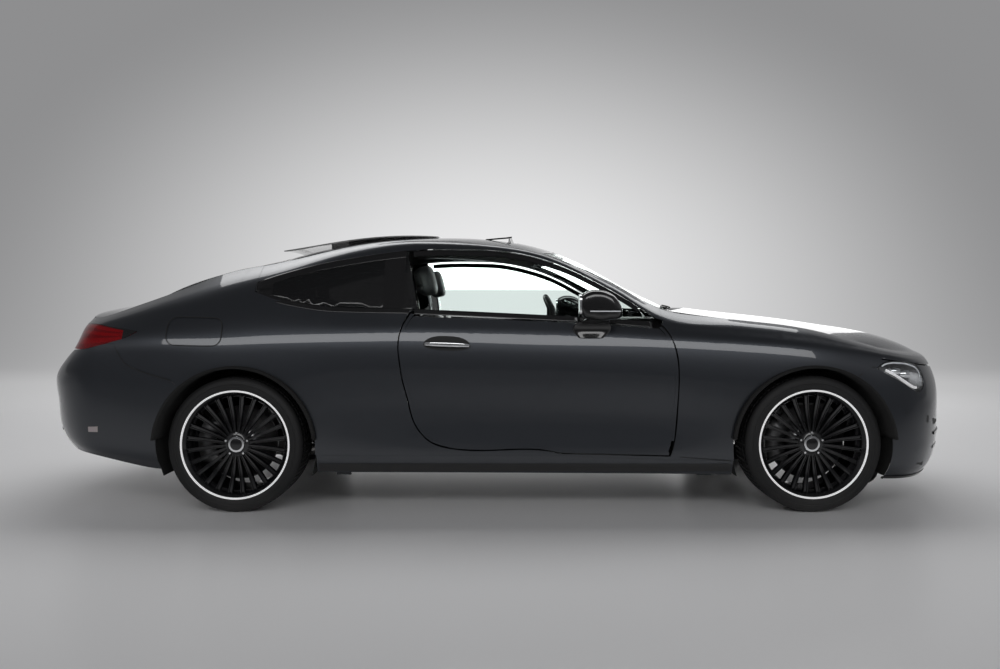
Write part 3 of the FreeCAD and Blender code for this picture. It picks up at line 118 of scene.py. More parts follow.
def useOnly(piece):
    deselectAll()
    piece.select_set(True)
    bpy.context.view_layer.objects.active = piece


def applyTool(piece, kind, **settings):
    useOnly(piece)
    tool = piece.modifiers.new("tool", kind)
    for name, value in settings.items():
        setattr(tool, name, value)
    bpy.ops.object.modifier_apply(modifier="tool")


def addCamera(values):
    deselectAll()
    turn = math.radians(90 + values["cameraTilt"])
    bpy.ops.object.camera_add(location=values["cameraPlace"], rotation=(turn, 0, 0))
    camera = bpy.context.object
    camera.name = "studioCamera"
    camera.data.lens = values["cameraLens"]
    camera.data.sensor_width = 36
    camera.data.clip_end = 200
    scene.camera = camera


addCamera(studio)


def addNode(tree, kind):
    return tree.nodes.new("ShaderNode" + kind)


def linkNodes(tree, fromNode, fromSocket, toNode, toSocket):
    tree.links.new(fromNode.outputs[fromSocket], toNode.inputs[toSocket])


# Shared effects. Each puts out one mask or height, and each material sets its own values.
def newGroup(name, inputs, outputs):
    tree = bpy.data.node_groups.new(name, "ShaderNodeTree")
    for label, value in inputs:
        kind = "NodeSocketVector" if value is None else "NodeSocketFloat"
        socket = tree.interface.new_socket(name=label, in_out="INPUT", socket_type=kind)
        if value is not None:
            socket.default_value = value
    for label in outputs:
        tree.interface.new_socket(name=label, in_out="OUTPUT", socket_type="NodeSocketFloat")
    start, end = tree.nodes.new("NodeGroupInput"), tree.nodes.new("NodeGroupOutput")
    return tree, start, end


def grainGroup():
    tree, start, end = newGroup("surfaceGrain", [("Place", None), ("Scale", 400), ("Detail", 3)], ["Height"])
    noise = addNode(tree, "TexNoise")
    linkNodes(tree, start, "Place", noise, "Vector")
    linkNodes(tree, start, "Scale", noise, "Scale")
    linkNodes(tree, start, "Detail", noise, "Detail")
    linkNodes(tree, noise, "Fac", end, "Height")
    return tree


def cellGroup():
    tree, start, end = newGroup("leatherCells", [("Place", None), ("Scale", 300)], ["Height"])
    cells = addNode(tree, "TexVoronoi")
    cells.feature = "DISTANCE_TO_EDGE"
    ramp = addNode(tree, "MapRange")
    ramp.inputs["From Max"].default_value = 0.25
    linkNodes(tree, start, "Place", cells, "Vector")
    linkNodes(tree, start, "Scale", cells, "Scale")
    linkNodes(tree, cells, "Distance", ramp, "Value")
    linkNodes(tree, ramp, "Result", end, "Height")
    return tree


def dustGroup():
    tree, start, end = newGroup("roadDust", [("Place", None), ("Top", 0.45), ("Amount", 0.4)], ["Mask"])
    split = addNode(tree, "SeparateXYZ")
    fade = addNode(tree, "MapRange")
    fade.inputs["To Min"].default_value = 1
    fade.inputs["To Max"].default_value = 0
    noise = addNode(tree, "TexNoise")
    noise.inputs["Scale"].default_value = 5
    noise.inputs["Detail"].default_value = 5
    first, second = addNode(tree, "Math"), addNode(tree, "Math")
    first.operation = second.operation = "MULTIPLY"
    linkNodes(tree, start, "Place", split, "Vector")
    linkNodes(tree, split, "Z", fade, "Value")
    linkNodes(tree, start, "Top", fade, "From Max")
    linkNodes(tree, start, "Place", noise, "Vector")
    linkNodes(tree, noise, "Fac", first, 0)
    linkNodes(tree, fade, "Result", first, 1)
    linkNodes(tree, first, "Value", second, 0)
    linkNodes(tree, start, "Amount", second, 1)
    linkNodes(tree, second, "Value", end, "Mask")
    return tree


effects = {"grain": grainGroup(), "cells": cellGroup(), "dust": dustGroup()}


def addEffect(tree, kind, place, **values):
    node = addNode(tree, "Group")
    node.node_tree = effects[kind]
    linkNodes(tree, place, "Object", node, "Place")
    for label, value in values.items():
        node.inputs[label].default_value = value
    return node


coatRoughness = 0.03


def makeFinish(name, color, second=None, roughness=0.4, metallic=0.0, coat=0.0, grain=None, bump=0.0,
               bumpDepth=0.0005, cells=None, dust=None, alpha=None, transmission=0.0, ior=1.5,
               sheen=0.0, roughSpread=0.0, emission=None, stretch=None):
    material = bpy.data.materials.new(name)
    material.use_nodes = True
    tree = material.node_tree
    shader = tree.nodes["Principled BSDF"]
    place = addNode(tree, "TexCoord")
    source = place
    if stretch:
        source = addNode(tree, "Mapping")
        source.inputs["Scale"].default_value = stretch
        linkNodes(tree, place, "Object", source, "Vector")
    for label, value in (("Metallic", metallic), ("Roughness", roughness), ("Coat Weight", coat),
                         ("Coat Roughness", coatRoughness), ("Transmission Weight", transmission),
                         ("IOR", ior), ("Sheen Weight", sheen)):
        shader.inputs[label].default_value = value
    if alpha is not None:
        shader.inputs["Alpha"].default_value = alpha
    if emission:
        shader.inputs["Emission Color"].default_value = (*emission[:3], 1)
        shader.inputs["Emission Strength"].default_value = emission[3]
    grainNode = addEffect(tree, "grain", place, Scale=(grain or 60), Detail=3)
    if stretch:
        tree.links.new(source.outputs["Vector"], grainNode.inputs["Place"])
    tint = addNode(tree, "Mix")
    tint.data_type = "RGBA"
    tint.inputs["A"].default_value = (*color, 1)
    tint.inputs["B"].default_value = (*(second or [min(1, c * 1.18 + 0.001) for c in color]), 1)
    linkNodes(tree, grainNode, "Height", tint, "Factor")
    colorOut = (tint, "Result")
    if dust:
        dustNode = addEffect(tree, "dust", place, Top=dust[0], Amount=dust[1])
        dusty = addNode(tree, "Mix")
        dusty.data_type = "RGBA"
        dusty.inputs["B"].default_value = (0.16, 0.155, 0.15, 1)
        linkNodes(tree, dustNode, "Mask", dusty, "Factor")
        linkNodes(tree, tint, "Result", dusty, "A")
        colorOut = (dusty, "Result")
    linkNodes(tree, *colorOut, shader, "Base Color")
    if roughSpread:
        spreadNode = addNode(tree, "MapRange")
        spreadNode.inputs["To Min"].default_value = roughness - roughSpread / 2
        spreadNode.inputs["To Max"].default_value = roughness + roughSpread / 2
        linkNodes(tree, grainNode, "Height", spreadNode, "Value")
        linkNodes(tree, spreadNode, "Result", shader, "Roughness")
    height = grainNode
    if cells:
        height = addEffect(tree, "cells", place, Scale=cells)
    if bump:
        bumpNode = addNode(tree, "Bump")
        bumpNode.inputs["Strength"].default_value = bump
        bumpNode.inputs["Distance"].default_value = bumpDepth
        linkNodes(tree, height, "Height", bumpNode, "Height")
        linkNodes(tree, bumpNode, "Normal", shader, "Normal")
    return material


finishes = {
    "paint": makeFinish("graphitePaint", (0.030, 0.034, 0.041), (0.041, 0.046, 0.055), 0.34, 0.72,
                        coat=1.0, grain=1400, dust=(0.30, 0.10)),
    "glossBlack": makeFinish("glossBlackTrim", (0.006, 0.006, 0.0065), roughness=0.12, coat=0.6, grain=30,
                             roughSpread=0.04),
    "mattBlack": makeFinish("grainedBlackPlastic", (0.014, 0.014, 0.0145), (0.024, 0.024, 0.025), 0.55,
                            grain=500, bump=0.35, roughSpread=0.15, dust=(0.5, 0.12)),
    # Near-black felt for the arch liners, arch shields and roof lining: partly the felt's own black, partly
    # painted shade inside the arches.
    "linerFelt": makeFinish("archLinerFelt", (0.004, 0.004, 0.0042), (0.009, 0.009, 0.009), 0.9,
                            grain=260, bump=0.6, bumpDepth=0.002, dust=(0.7, 0.2)),
    "rubber": makeFinish("tyreRubber", (0.004, 0.004, 0.0045), (0.008, 0.008, 0.0085), 0.66, grain=350,
                         bump=0.2, roughSpread=0.2, dust=(0.12, 0.25)),
    "wheelBlack": makeFinish("wheelGlossBlack", (0.004, 0.004, 0.005), (0.007, 0.007, 0.008), 0.2, 0.3,
                             coat=0.8, grain=300, roughSpread=0.05),
    # Pale aluminium with a faint white emission: a painted glow that stands in for the highlight on the wheel
    # rings, grille studs and lamp shelf.
    "brightRing": makeFinish("machinedAluminium", (0.90, 0.90, 0.91), (0.96, 0.96, 0.97), 0.45, 0.3,
                             grain=500, roughSpread=0.1, emission=(1.0, 1.0, 1.0, 0.35)),
    "chrome": makeFinish("chromedTrim", (0.76, 0.77, 0.78), roughness=0.08, metallic=1.0, grain=40,
                         roughSpread=0.04),
    "disc": makeFinish("turnedDiscSteel", (0.38, 0.38, 0.39), (0.52, 0.52, 0.53), 0.3, 1.0, grain=500,
                       roughSpread=0.2, stretch=(1, 0.05, 1)),
    "cast": makeFinish("castAluminium", (0.20, 0.20, 0.205), (0.30, 0.30, 0.305), 0.5, 0.8, grain=250,
                       bump=0.4, roughSpread=0.2, dust=(0.5, 0.3)),
    "structure": makeFinish("primedSteel", (0.020, 0.020, 0.021), (0.032, 0.032, 0.033), 0.6, 0.2,
                            grain=90, bump=0.1, dust=(0.5, 0.3)),
    "exhaust": makeFinish("brushedStainless", (0.36, 0.35, 0.34), (0.5, 0.49, 0.48), 0.32, 1.0, grain=300,
                          roughSpread=0.2, stretch=(0.1, 1, 1)),
    "clearGlass": makeFinish("clearSideGlass", (0.90, 0.96, 0.94), (0.92, 0.97, 0.95), 0.0,
                             transmission=1.0, grain=3, ior=1.02),
    "darkGlass": makeFinish("darkTintedGlass", (0.006, 0.0065, 0.007), roughness=0.03, grain=3,
                            alpha=0.74, coat=0.3),
    "lampClear": makeFinish("clearLampLens", (0.93, 0.94, 0.95), roughness=0.0, transmission=1.0, grain=3,
                            ior=1.08, coat=0.6),
    "lampRed": makeFinish("redLampLens", (0.20, 0.002, 0.006), (0.26, 0.003, 0.008), 0.05,
                          transmission=0.6, grain=20, ior=1.25, coat=0.35,
                          emission=(0.5, 0.01, 0.015, 0.03)),
    "lampDark": makeFinish("smokedLampLens", (0.02, 0.006, 0.007), roughness=0.06, coat=1.0, grain=20),
    "leather": makeFinish("greyLeather", (0.085, 0.088, 0.090), (0.11, 0.113, 0.115), 0.48, cells=420,
                          bump=0.35, bumpDepth=0.0006, grain=90, sheen=0.05),
    "darkLeather": makeFinish("blackLeather", (0.014, 0.014, 0.015), (0.022, 0.022, 0.023), 0.45,
                              cells=420, bump=0.35, bumpDepth=0.0006, grain=90),
    "screen": makeFinish("blankScreenGlass", (0.004, 0.004, 0.005), roughness=0.05, coat=1.0, grain=3),
    "lampGrey": makeFinish("lampHousingGrey", (0.16, 0.165, 0.17), (0.22, 0.225, 0.23), 0.25, 0.6,
                           grain=80),
    "lightGuide": makeFinish("lightGuideWhite", (0.60, 0.62, 0.64), roughness=0.15, grain=30,
                             emission=(0.9, 0.95, 1.0, 0.12)),
    "lampGlow": makeFinish("redLightBlade", (0.62, 0.010, 0.018), (0.7, 0.012, 0.02), 0.3, grain=60,
                           emission=(0.8, 0.01, 0.02, 0.45)),
    "reflector": makeFinish("smokedReflector", (0.34, 0.29, 0.29), (0.42, 0.37, 0.37), 0.12, coat=1.0,
                            grain=600),
    # Near-black bands and patches drawn where gaps and recesses are: painted shade.
    "seal": makeFinish("doorSealRubber", (0.008, 0.008, 0.008), (0.014, 0.014, 0.014), 0.7, grain=300,
                       bump=0.2),
}
print("finishes:", len(finishes))


# The body's outer surface. Height and half width of the foot, ledge, low, waist, crease,
# shoulder, rail and top line at each place along the side.
sideSections = (
    (-2.000, (.270, .846), (.335, .882), (.530, .900), (.735, .902),
     (.858, .884), (.925, .826), (.955, .778), (.979, .722)),
    (-1.720, (.214, .872), (.300, .908), (.520, .922), (.742, .920),
     (.872, .902), (.985, .826), (1.040, .760), (1.083, .672)),
    (-1.420, (.203, .882), (.288, .918), (.516, .930), (.750, .930),
     (.884, .906), (1.022, .826), (1.120, .738), (1.200, .612)),
    (-1.130, (.198, .885), (.282, .916), (.512, .928), (.750, .928),
     (.888, .906), (1.030, .832), (1.184, .722), (1.258, .604)),
    (-.760, (.197, .885), (.277, .913), (.505, .914), (.748, .922),
     (.887, .904), (1.008, .842), (1.272, .698), (1.340, .612)),
    (-.400, (.196, .885), (.274, .912), (.498, .907), (.742, .917),
     (.883, .901), (.998, .847), (1.316, .690), (1.371, .620)),
    (.200, (.193, .885), (.270, .911), (.482, .903), (.729, .914),
     (.867, .897), (.971, .850), (1.268, .700), (1.304, .640)),
    (.600, (.191, .885), (.268, .911), (.474, .903), (.711, .915),
     (.858, .897), (.945, .853), (1.092, .766), (1.132, .702)),
    (.830, (.189, .885), (.266, .912), (.468, .906), (.698, .918),
     (.851, .899), (.927, .853), (.968, .815), (1.010, .745)),
    (1.240, (.184, .884), (.262, .914), (.470, .922), (.684, .926),
     (.833, .904), (.896, .858), (.930, .818), (.952, .764)),
    (1.557, (.178, .882), (.256, .915), (.480, .928), (.690, .931),
     (.815, .908), (.866, .860), (.894, .820), (.911, .772)),
    (1.912, (.166, .876), (.240, .908), (.450, .914), (.640, .906),
     (.762, .880), (.797, .842), (.812, .800), (.822, .752)),
)
noseLines = ((.176, 2.335), (.235, 2.385), (.455, 2.423), (.610, 2.425),
    (.700, 2.392), (.752, 2.368), (.775, 2.350), (.792, 2.322))
tailLines = ((.300, -2.335), (.425, -2.405), (.550, -2.425), (.655, -2.418),
    (.745, -2.295), (.905, -2.248), (.965, -2.222), (1.006, -2.200))

endRoundness = 2.2
topLine = len(noseLines) - 1
sectionPlaces = [s[0] for s in sideSections]


def smoothValues(knots, values, at):
    last = len(knots) - 1
    k = 0
    while k < last - 1 and at > knots[k + 1]:
        k += 1

    def slope(n):
        a, b = max(n - 1, 0), min(n + 1, last)
        return [(q - p) / (knots[b] - knots[a]) for p, q in zip(values[a], values[b])]

    span = knots[k + 1] - knots[k]
    t = (at - knots[k]) / span
    pairs = zip(values[k], values[k + 1], slope(k), slope(k + 1))
    return [(2 * t**3 - 3 * t**2 + 1) * p + (t**3 - 2 * t**2 + t) * span * m
            + (3 * t**2 - 2 * t**3) * q + (t**3 - t**2) * span * n for p, q, m, n in pairs]


def sideLine(line, x):
    z, w = smoothValues(sectionPlaces, [s[line + 1] for s in sideSections], x)
    return w, z


def endLine(line, turn, endTable, start, sign):
    w0, z0 = sideLine(line, start)
    w1, z1 = sideLine(line, start - sign * 0.001)
    endZ, endX = endTable[line]
    reach = abs(endX - start)
    share = math.sin(math.radians(turn)) ** (2 / endRoundness)
    wide = math.cos(math.radians(turn)) ** (2 / endRoundness) if turn < 89.99 else 0
    w = (w0 + (w0 - w1) * 1000 * reach * share) * wide
    rise = (z0 - z1) * 1000 * reach
    z = z0 + rise * share + (endZ - z0 - rise) * share**2
    return start + sign * reach * share, w, z


lineCache = {}


def columnLines(column):
    if column not in lineCache:
        if isinstance(column, tuple):
            table, start, sign = ((noseLines, sectionPlaces[-1], 1) if column[0] == "nose"
                                  else (tailLines, sectionPlaces[0], -1))
            lineCache[column] = [endLine(k, column[1], table, start, sign) for k in range(topLine + 1)]
        else:
            lineCache[column] = [(column, *sideLine(k, column)) for k in range(topLine + 1)]
    return lineCache[column]


def skinPoint(column, line):
    x, w, z = smoothValues(range(topLine + 1), columnLines(column), line)
    return Vector((x, -w, z))


def spread(first, last, count):
    return [first + (last - first) * k / (count - 1) for k in range(count)]


def ringTurns(count):
    return spread(0, 2 * math.pi * (count - 1) / count, count)


lineReaches = {"nose": [abs(end[1] - sectionPlaces[-1]) for end in noseLines],
               "tail": [abs(end[1] - sectionPlaces[0]) for end in tailLines]}


def columnAt(x, line):
    if sectionPlaces[0] <= x <= sectionPlaces[-1]:
        return x
    end, start = ("nose", sectionPlaces[-1]) if x > 0 else ("tail", sectionPlaces[0])
    reach = smoothValues(range(topLine + 1), [[r] for r in lineReaches[end]], line)[0]
    share = min(abs(x - start) / reach, 0.9999)
    return (end, round(math.degrees(math.asin(share ** (endRoundness / 2))), 2))


closeEnough = 0.0002


def lineAt(x, z):
    low, high = 0.0, float(topLine)
    lowMiss = skinPoint(columnAt(x, low), low).z - z
    highMiss = skinPoint(columnAt(x, high), high).z - z
    for step in range(14):
        if step % 3 == 2 or abs(highMiss - lowMiss) < 1e-9:
            middle = (low + high) / 2
        else:
            middle = low - lowMiss * (high - low) / (highMiss - lowMiss)
        middle = min(max(middle, 0.0), float(topLine))
        miss = skinPoint(columnAt(x, middle), middle).z - z
        if abs(miss) < closeEnough:
            break
        if miss < 0:
            low, lowMiss = middle, miss
        else:
            high, highMiss = middle, miss
    return middle


frameCache = {}


def skinFrame(x, z):
    key = (round(x, 4), round(z, 4))
    if key not in frameCache:
        line = lineAt(x, z)
        point = skinPoint(columnAt(x, line), line)
        nearLine = line + 0.04 if line < 6.9 else line - 0.04
        nearX = x - 0.004 if x > 0 else x + 0.004
        up = (skinPoint(columnAt(x, nearLine), nearLine) - point) * (1 if nearLine > line else -1)
        alongWay = (skinPoint(columnAt(nearX, line), line) - point) * (1 if nearX > x else -1)
        normal = alongWay.cross(up).normalized()
        if normal.y > 0:
            normal = -normal
        frameCache[key] = (point, normal)
    return frameCache[key]


def crossLine(middleX, middleZ, edge, count, gap=0.0):
    x1, w1, z1 = edge.x, -edge.y - gap, edge.z
    return [Vector((middleX + (x1 - middleX) * abs(v)**2, -w1 * v, middleZ + (z1 - middleZ) * abs(v)**2.4))
            for v in spread(1, -1, count)]


def gridPiece(name, rows):
    deselectAll()
    bpy.ops.mesh.primitive_grid_add(x_subdivisions=len(rows[0]) - 1, y_subdivisions=len(rows) - 1, size=1)
    piece = bpy.context.object
    piece.name = piece.data.name = name
    for vertex, point in zip(piece.data.vertices, [p for row in rows for p in row]):
        vertex.co = point
    return piece


def smoothRows(rows, steps):
    gaps = [sum((a - b).length for a, b in zip(r, s)) / len(r) for r, s in zip(rows, rows[1:])]
    marks = [sum(gaps[:k]) for k in range(len(rows))]
    columns = [[list(row[k]) for row in rows] for k in range(len(rows[0]))]
    return [[Vector(smoothValues(marks, column, at)) for column in columns]
            for at in spread(0, marks[-1], steps)]


def turnOutwards(piece, inside=(0, 0, 0.6)):
    mesh = piece.data
    total = sum(face.normal.dot(face.center - Vector(inside)) * face.area for face in mesh.polygons)
    if total < 0:
        mesh.flip_normals()
    return piece


acrossCar = (False, True, False)


# Smooth masters of the painted surfaces, from which the panels take their shading.
def sideMaster():
    columns = ([("tail", t) for t in spread(90, 3, 30)] + spread(-2.0, 1.912, 150)
               + [("nose", t) for t in spread(3, 90, 30)])
    lines = spread(0, topLine, 71)
    piece = gridPiece("masterSide", [[skinPoint(c, r) for r in lines] for c in columns])
    applyTool(piece, "MIRROR", use_axis=acrossCar)
    return piece


def edgeAt(x):
    return skinPoint(x, topLine)


def topMaster(name, stations, steps):
    return gridPiece(name, smoothRows([crossLine(xc, zc, edgeAt(xe), 41) for xc, zc, xe in stations], steps))


def endEdge(end, line, gap):
    half = [skinPoint((end, t), line) for t in spread(0, 90, 21)]
    widest = max(-p.y for p in half)
    right = [Vector((p.x, p.y * (1 - gap / widest), p.z)) for p in half]
    return right + [Vector((p.x, -p.y, p.z)) for p in right[:-1]][::-1]


def betweenEdges(a, b, share, lift):
    between = []
    for k, (p, q) in enumerate(zip(a, b)):
        v = abs(2 * k / (len(a) - 1) - 1)
        between.append(p + (q - p) * share + Vector((0, 0, lift * (1 - v**2))))
    return between


lidGap = 0.006


def lidMaster(name, stations, edge, share, lift, steps):
    rows = [crossLine(xc, zc, edgeAt(xe), 41, lidGap) for xc, zc, xe in stations]
    rows.append(betweenEdges(rows[-1], edge, share, lift))
    rows.append(edge)
    return gridPiece(name, smoothRows(rows, steps))


screenStations = ((1.010, .985, .848), (.878, 1.050, .730), (.745, 1.114, .612), (.520, 1.243, .385),
                  (.330, 1.328, .214))
roofStations = ((.326, 1.332, .208), (.080, 1.393, .010), (-.350, 1.413, -.380), (-.800, 1.378, -.790),
                (-1.152, 1.300, -1.117))
rearStations = ((-1.156, 1.298, -1.121), (-1.330, 1.250, -1.270), (-1.500, 1.192, -1.440),
                (-1.800, 1.072, -1.716))
bonnetStations = ((1.062, 1.018, .866), (1.300, .990, 1.240), (1.600, .957, 1.557), (1.850, .922, 1.780))
bootStations = ((-1.812, 1.066, -1.730), (-1.950, 1.047, -1.880))
masters = {
    "side": sideMaster(),
    "screen": topMaster("masterScreen", screenStations, 60),
    "roof": topMaster("masterRoof", roofStations, 80),
    "rearWindow": topMaster("masterRearWindow", rearStations, 50),
    "bonnet": lidMaster("masterBonnet", bonnetStations, endEdge("nose", topLine, lidGap), 0.5, 0.026, 100),
    "boot": lidMaster("masterBoot", bootStations, endEdge("tail", topLine, lidGap), 0.55, 0.006, 60),
}
for end in ("nose", "tail"):
    edges = [endEdge(end, line, lidGap) for line in spread(4, topLine, 31)]
    masters[end] = gridPiece("master" + end.capitalize(), edges)
for master in masters.values():
    turnOutwards(master)
    useOnly(master)
    bpy.ops.object.shade_smooth()
    master.hide_render = True
    master.hide_viewport = True
    master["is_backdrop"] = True
print("masters:", {name: len(master.data.polygons) for name, master in masters.items()})


# CAD nodes that stay: their finish, and the master that smooths their paint.
masterReach = 0.006


def dressNode(name, finish, smoothFrom=()):
    node = nodes[name]
    node.data.materials.clear()
    node.data.materials.append(finishes[finish])
    weld = node.modifiers.new("weld", "WELD")
    weld.merge_threshold = 0.00001
    useOnly(node)
    bpy.ops.object.shade_smooth_by_angle(angle=math.radians(28))
    for source in smoothFrom:
        transfer = node.modifiers.new("shade_" + source, "DATA_TRANSFER")
        transfer.object = masters[source]
        transfer.use_object_transform = False
        transfer.use_loop_data = True
        transfer.data_types_loops = {"CUSTOM_NORMAL"}
        transfer.loop_mapping = "POLYINTERP_LNORPROJ"
        transfer.use_max_distance = True
        transfer.max_distance = masterReach
    return node


paintedNodes = {
    "sills": ("side",), "wings": ("side",), "quarter_panel_right": ("side",), "quarter_panel_left": ("side",),
    "roof_rails": ("side",), "front_bumper": ("side",), "rear_bumper": ("side",), "door_right": ("side",),
    "door_left": ("side",), "roof_panel": ("roof",), "bonnet": ("bonnet", "nose"),
    "boot_lid": ("boot", "tail"),
}
plainNodes = {
    "windscreen": "clearGlass", "rear_window": "darkGlass", "sunroof_glass": "darkGlass",
    "quarter_glass": "darkGlass", "door_glass_right": "clearGlass", "door_glass_left": "clearGlass",
    "floor_pan": "structure", "boot_floor": "structure", "arch_liners": "linerFelt",
    "engine_block": "cast", "front_axle": "cast",
    "rear_axle": "cast", "knuckle_right": "cast", "knuckle_left": "cast", "exhaust": "exhaust",
    "dashboard": "mattBlack", "grille": "glossBlack", "headlamps": "lampClear", "tail_lamps": "lampRed",
    "front_seats": "leather", "rear_seat": "leather", "steering_wheel": "darkLeather",
    "mirror_right": "glossBlack", "mirror_left": "glossBlack",
}
for end in ("front", "rear"):
    for side in ("right", "left"):
        plainNodes.update({"tyre_%s_%s" % (end, side): "rubber", "rim_%s_%s" % (end, side): "wheelBlack",
                           "disc_%s_%s" % (end, side): "disc"})
for name, sources in paintedNodes.items():
    dressNode(name, "paint", sources)
for name, finish in plainNodes.items():
    dressNode(name, finish)
dressed = set(paintedNodes) | set(plainNodes)
print("nodes without a finish:", sorted(set(nodes) - dressed))


# Tools that the new pieces share.
# A piece looks up the slot name of its finish, unless its call names another one or none; the name is not put
# on the piece.
slotNames = {
    "paint": "paint", "glossBlack": "black_trim", "mattBlack": "black_plastic", "seal": "black_plastic",
    "screen": "black_plastic", "linerFelt": "black_plastic", "lampGrey": "black_plastic",
    "chrome": "disc_steel", "brightRing": "disc_steel", "lampClear": "lamp_clear",
    "lightGuide": "lamp_clear", "lampRed": "lamp_red", "lampDark": "lamp_red", "lampGlow": "lamp_red",
    "reflector": "lamp_red", "leather": "leather", "darkLeather": "leather", "rubber": "tyre",
    "wheelBlack": "wheel_black",
}


def finishPiece(piece, finish, body="body_shell", slot="", replaced=(), smooth=35):
    piece.data.materials.clear()
    piece.data.materials.append(finishes[finish])
    useOnly(piece)
    bpy.ops.object.shade_smooth_by_angle(angle=math.radians(smooth))
    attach(piece, body)
    if slot == "":
        slot = slotNames[finish]
    if replaced:
        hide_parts(*replaced)
    return piece


mergeGap = 0.00002


def closeUp(piece):
    useOnly(piece)
    bpy.ops.object.mode_set(mode="EDIT")
    bpy.ops.mesh.select_all(action="SELECT")
    bpy.ops.mesh.remove_doubles(threshold=mergeGap)
    bpy.ops.mesh.select_all(action="DESELECT")
    bpy.ops.mesh.select_mode(type="EDGE")
    bpy.ops.mesh.select_non_manifold()
    bpy.ops.mesh.fill_holes(sides=0)
    bpy.ops.mesh.select_all(action="SELECT")
    bpy.ops.mesh.normals_make_consistent(inside=False)
    bpy.ops.object.mode_set(mode="OBJECT")
    return piece


def lathe(name, profile, centre, count=96, axis="Y"):
    rows = []
    for k in range(count + 1):
        turn = 2 * math.pi * k / count
        row = []
        for r, along in profile:
            flat = (r * math.cos(turn), r * math.sin(turn))
            point = (flat[0], along, flat[1]) if axis == "Y" else (along, flat[0], flat[1])
            row.append(Vector(point) + Vector(centre))
        rows.append(row)
    return closeUp(gridPiece(name, rows))


def roundedTube(name, rows):
    return closeUp(gridPiece(name, [row + row[:1] for row in rows]))


def copyPiece(source, name, matrix):
    useOnly(source)
    bpy.ops.object.duplicate()
    piece = bpy.context.object
    piece.parent = None
    piece.name = piece.data.name = name
    piece.data.transform(matrix)
    if matrix.determinant() < 0:
        piece.data.flip_normals()
    return piece


def joinPieces(pieces, name):
    deselectAll()
    for piece in pieces:
        piece.select_set(True)
    bpy.context.view_layer.objects.active = pieces[0]
    bpy.ops.object.join()
    piece = bpy.context.object
    piece.name = piece.data.name = name
    return piece


mirrorSide = Matrix.Scale(-1, 4, (0, 1, 0))


# A right-hand piece and its mirrored copy, whose name ends in Left instead of Right.
def bothSides(right, finish, body="body_shell", base=None, **options):
    bodies = (body, body) if isinstance(body, str) else body
    left = copyPiece(right, (base or right.name[:-len("Right")]) + "Left", mirrorSide)
    finishPiece(left, finish, bodies[1], **options)
    finishPiece(right, finish, bodies[0], **options)
    return right, left


# Wheels: a tyre with cut tread, a dished rim of ribbed blades, a bright ring with a painted glow and a bare
# cap.
wheel = {
    "front": {"x": 1.557, "radius": 0.340, "width": 0.245},
    "rear": {"x": -1.308, "radius": 0.337, "width": 0.275},
    "faceY": -0.925, "bead": 0.2555, "ringOuter": 0.2712, "ringInner": 0.2622, "barrel": 0.2365,
    "hubRecess": 0.027, "hubRadius": 0.070, "capRadius": 0.041, "bladeCount": 24, "bladeHalf": 0.0104,
    "bladeSink": 0.012, "bladeReach": 0.010, "bladeFrontInner": 0.006, "bladeFrontOuter": 0.022,
    "bladeSwell": 0.010, "treadCount": 78, "treadDepth": 0.006, "treadSlope": 0.006, "treadEnd": 0.81,
    "shoulder": 0.5, "grooveEdge": 0.0012, "grooveDepth": 0.0035,
    "boltCircle": 0.056, "boltCount": 5, "spindleBore": 0.033,
}


def tyrePiece(name, end, values):
    size = values[end]
    outerR, half = size["radius"], size["width"] / 2
    middleY = values["faceY"] + half
    wall = outerR - values["bead"]
    side = ((0.0, -0.80), (0.06, -0.91), (0.15, -0.965), (0.22, -0.955), (0.24, -0.985), (0.34, -1.0),
            (0.50, -0.998), (0.52, -0.988), (0.56, -0.988), (0.58, -0.996), (0.70, -0.985), (0.80, -0.962),
            (0.88, -0.925), (0.94, -0.885), (0.975, -0.84))
    left = [(values["bead"] + wall * a, half * b) for a, b in side]
    tread = []
    ribs = (-0.80, -0.52, -0.48, -0.19, -0.15, 0.15, 0.19, 0.48, 0.52, 0.80)
    for k, place in enumerate(ribs):
        crown = outerR - 0.006 * place * place
        tread.append((crown, half * place))
        if k in (1, 3, 5, 7):
            foot = crown - values["treadDepth"]
            tread += [(foot, half * (place + values["treadSlope"])),
                      (foot, half * (ribs[k + 1] - values["treadSlope"]))]
    profile = left + tread + [(r, -y) for r, y in left[::-1]]
    profile.append((values["bead"] + 0.004, 0))
    profile.append(profile[0])
    count = values["treadCount"] * 2
    piece = lathe(name, profile, (size["x"], middleY, size["radius"]), count)
    mesh = bmesh.new()
    mesh.from_mesh(piece.data)
    centre = Vector((size["x"], middleY, size["radius"]))

    def blockAt(face):
        way = face.calc_center_median() - centre
        return way, int((math.atan2(way.z, way.x) / (2 * math.pi) * count) % count)

    blocks = []
    for face in mesh.faces:
        way, number = blockAt(face)
        outside = math.hypot(way.x, way.z) > outerR - 0.005 and abs(face.normal.y) < 0.3
        aside = abs(way.y) / half
        if outside and aside < values["treadEnd"] and (aside > values["shoulder"] or number % 2):
            blocks.append(face)
    bmesh.ops.inset_individual(mesh, faces=blocks, thickness=values["grooveEdge"], depth=0)
    for face in blocks:
        if blockAt(face)[1] % 2:
            for corner in face.verts:
                outward = Vector((corner.co.x - centre.x, 0, corner.co.z - centre.z)).normalized()
                corner.co -= outward * values["grooveDepth"]
    mesh.to_mesh(piece.data)
    mesh.free()
    return piece


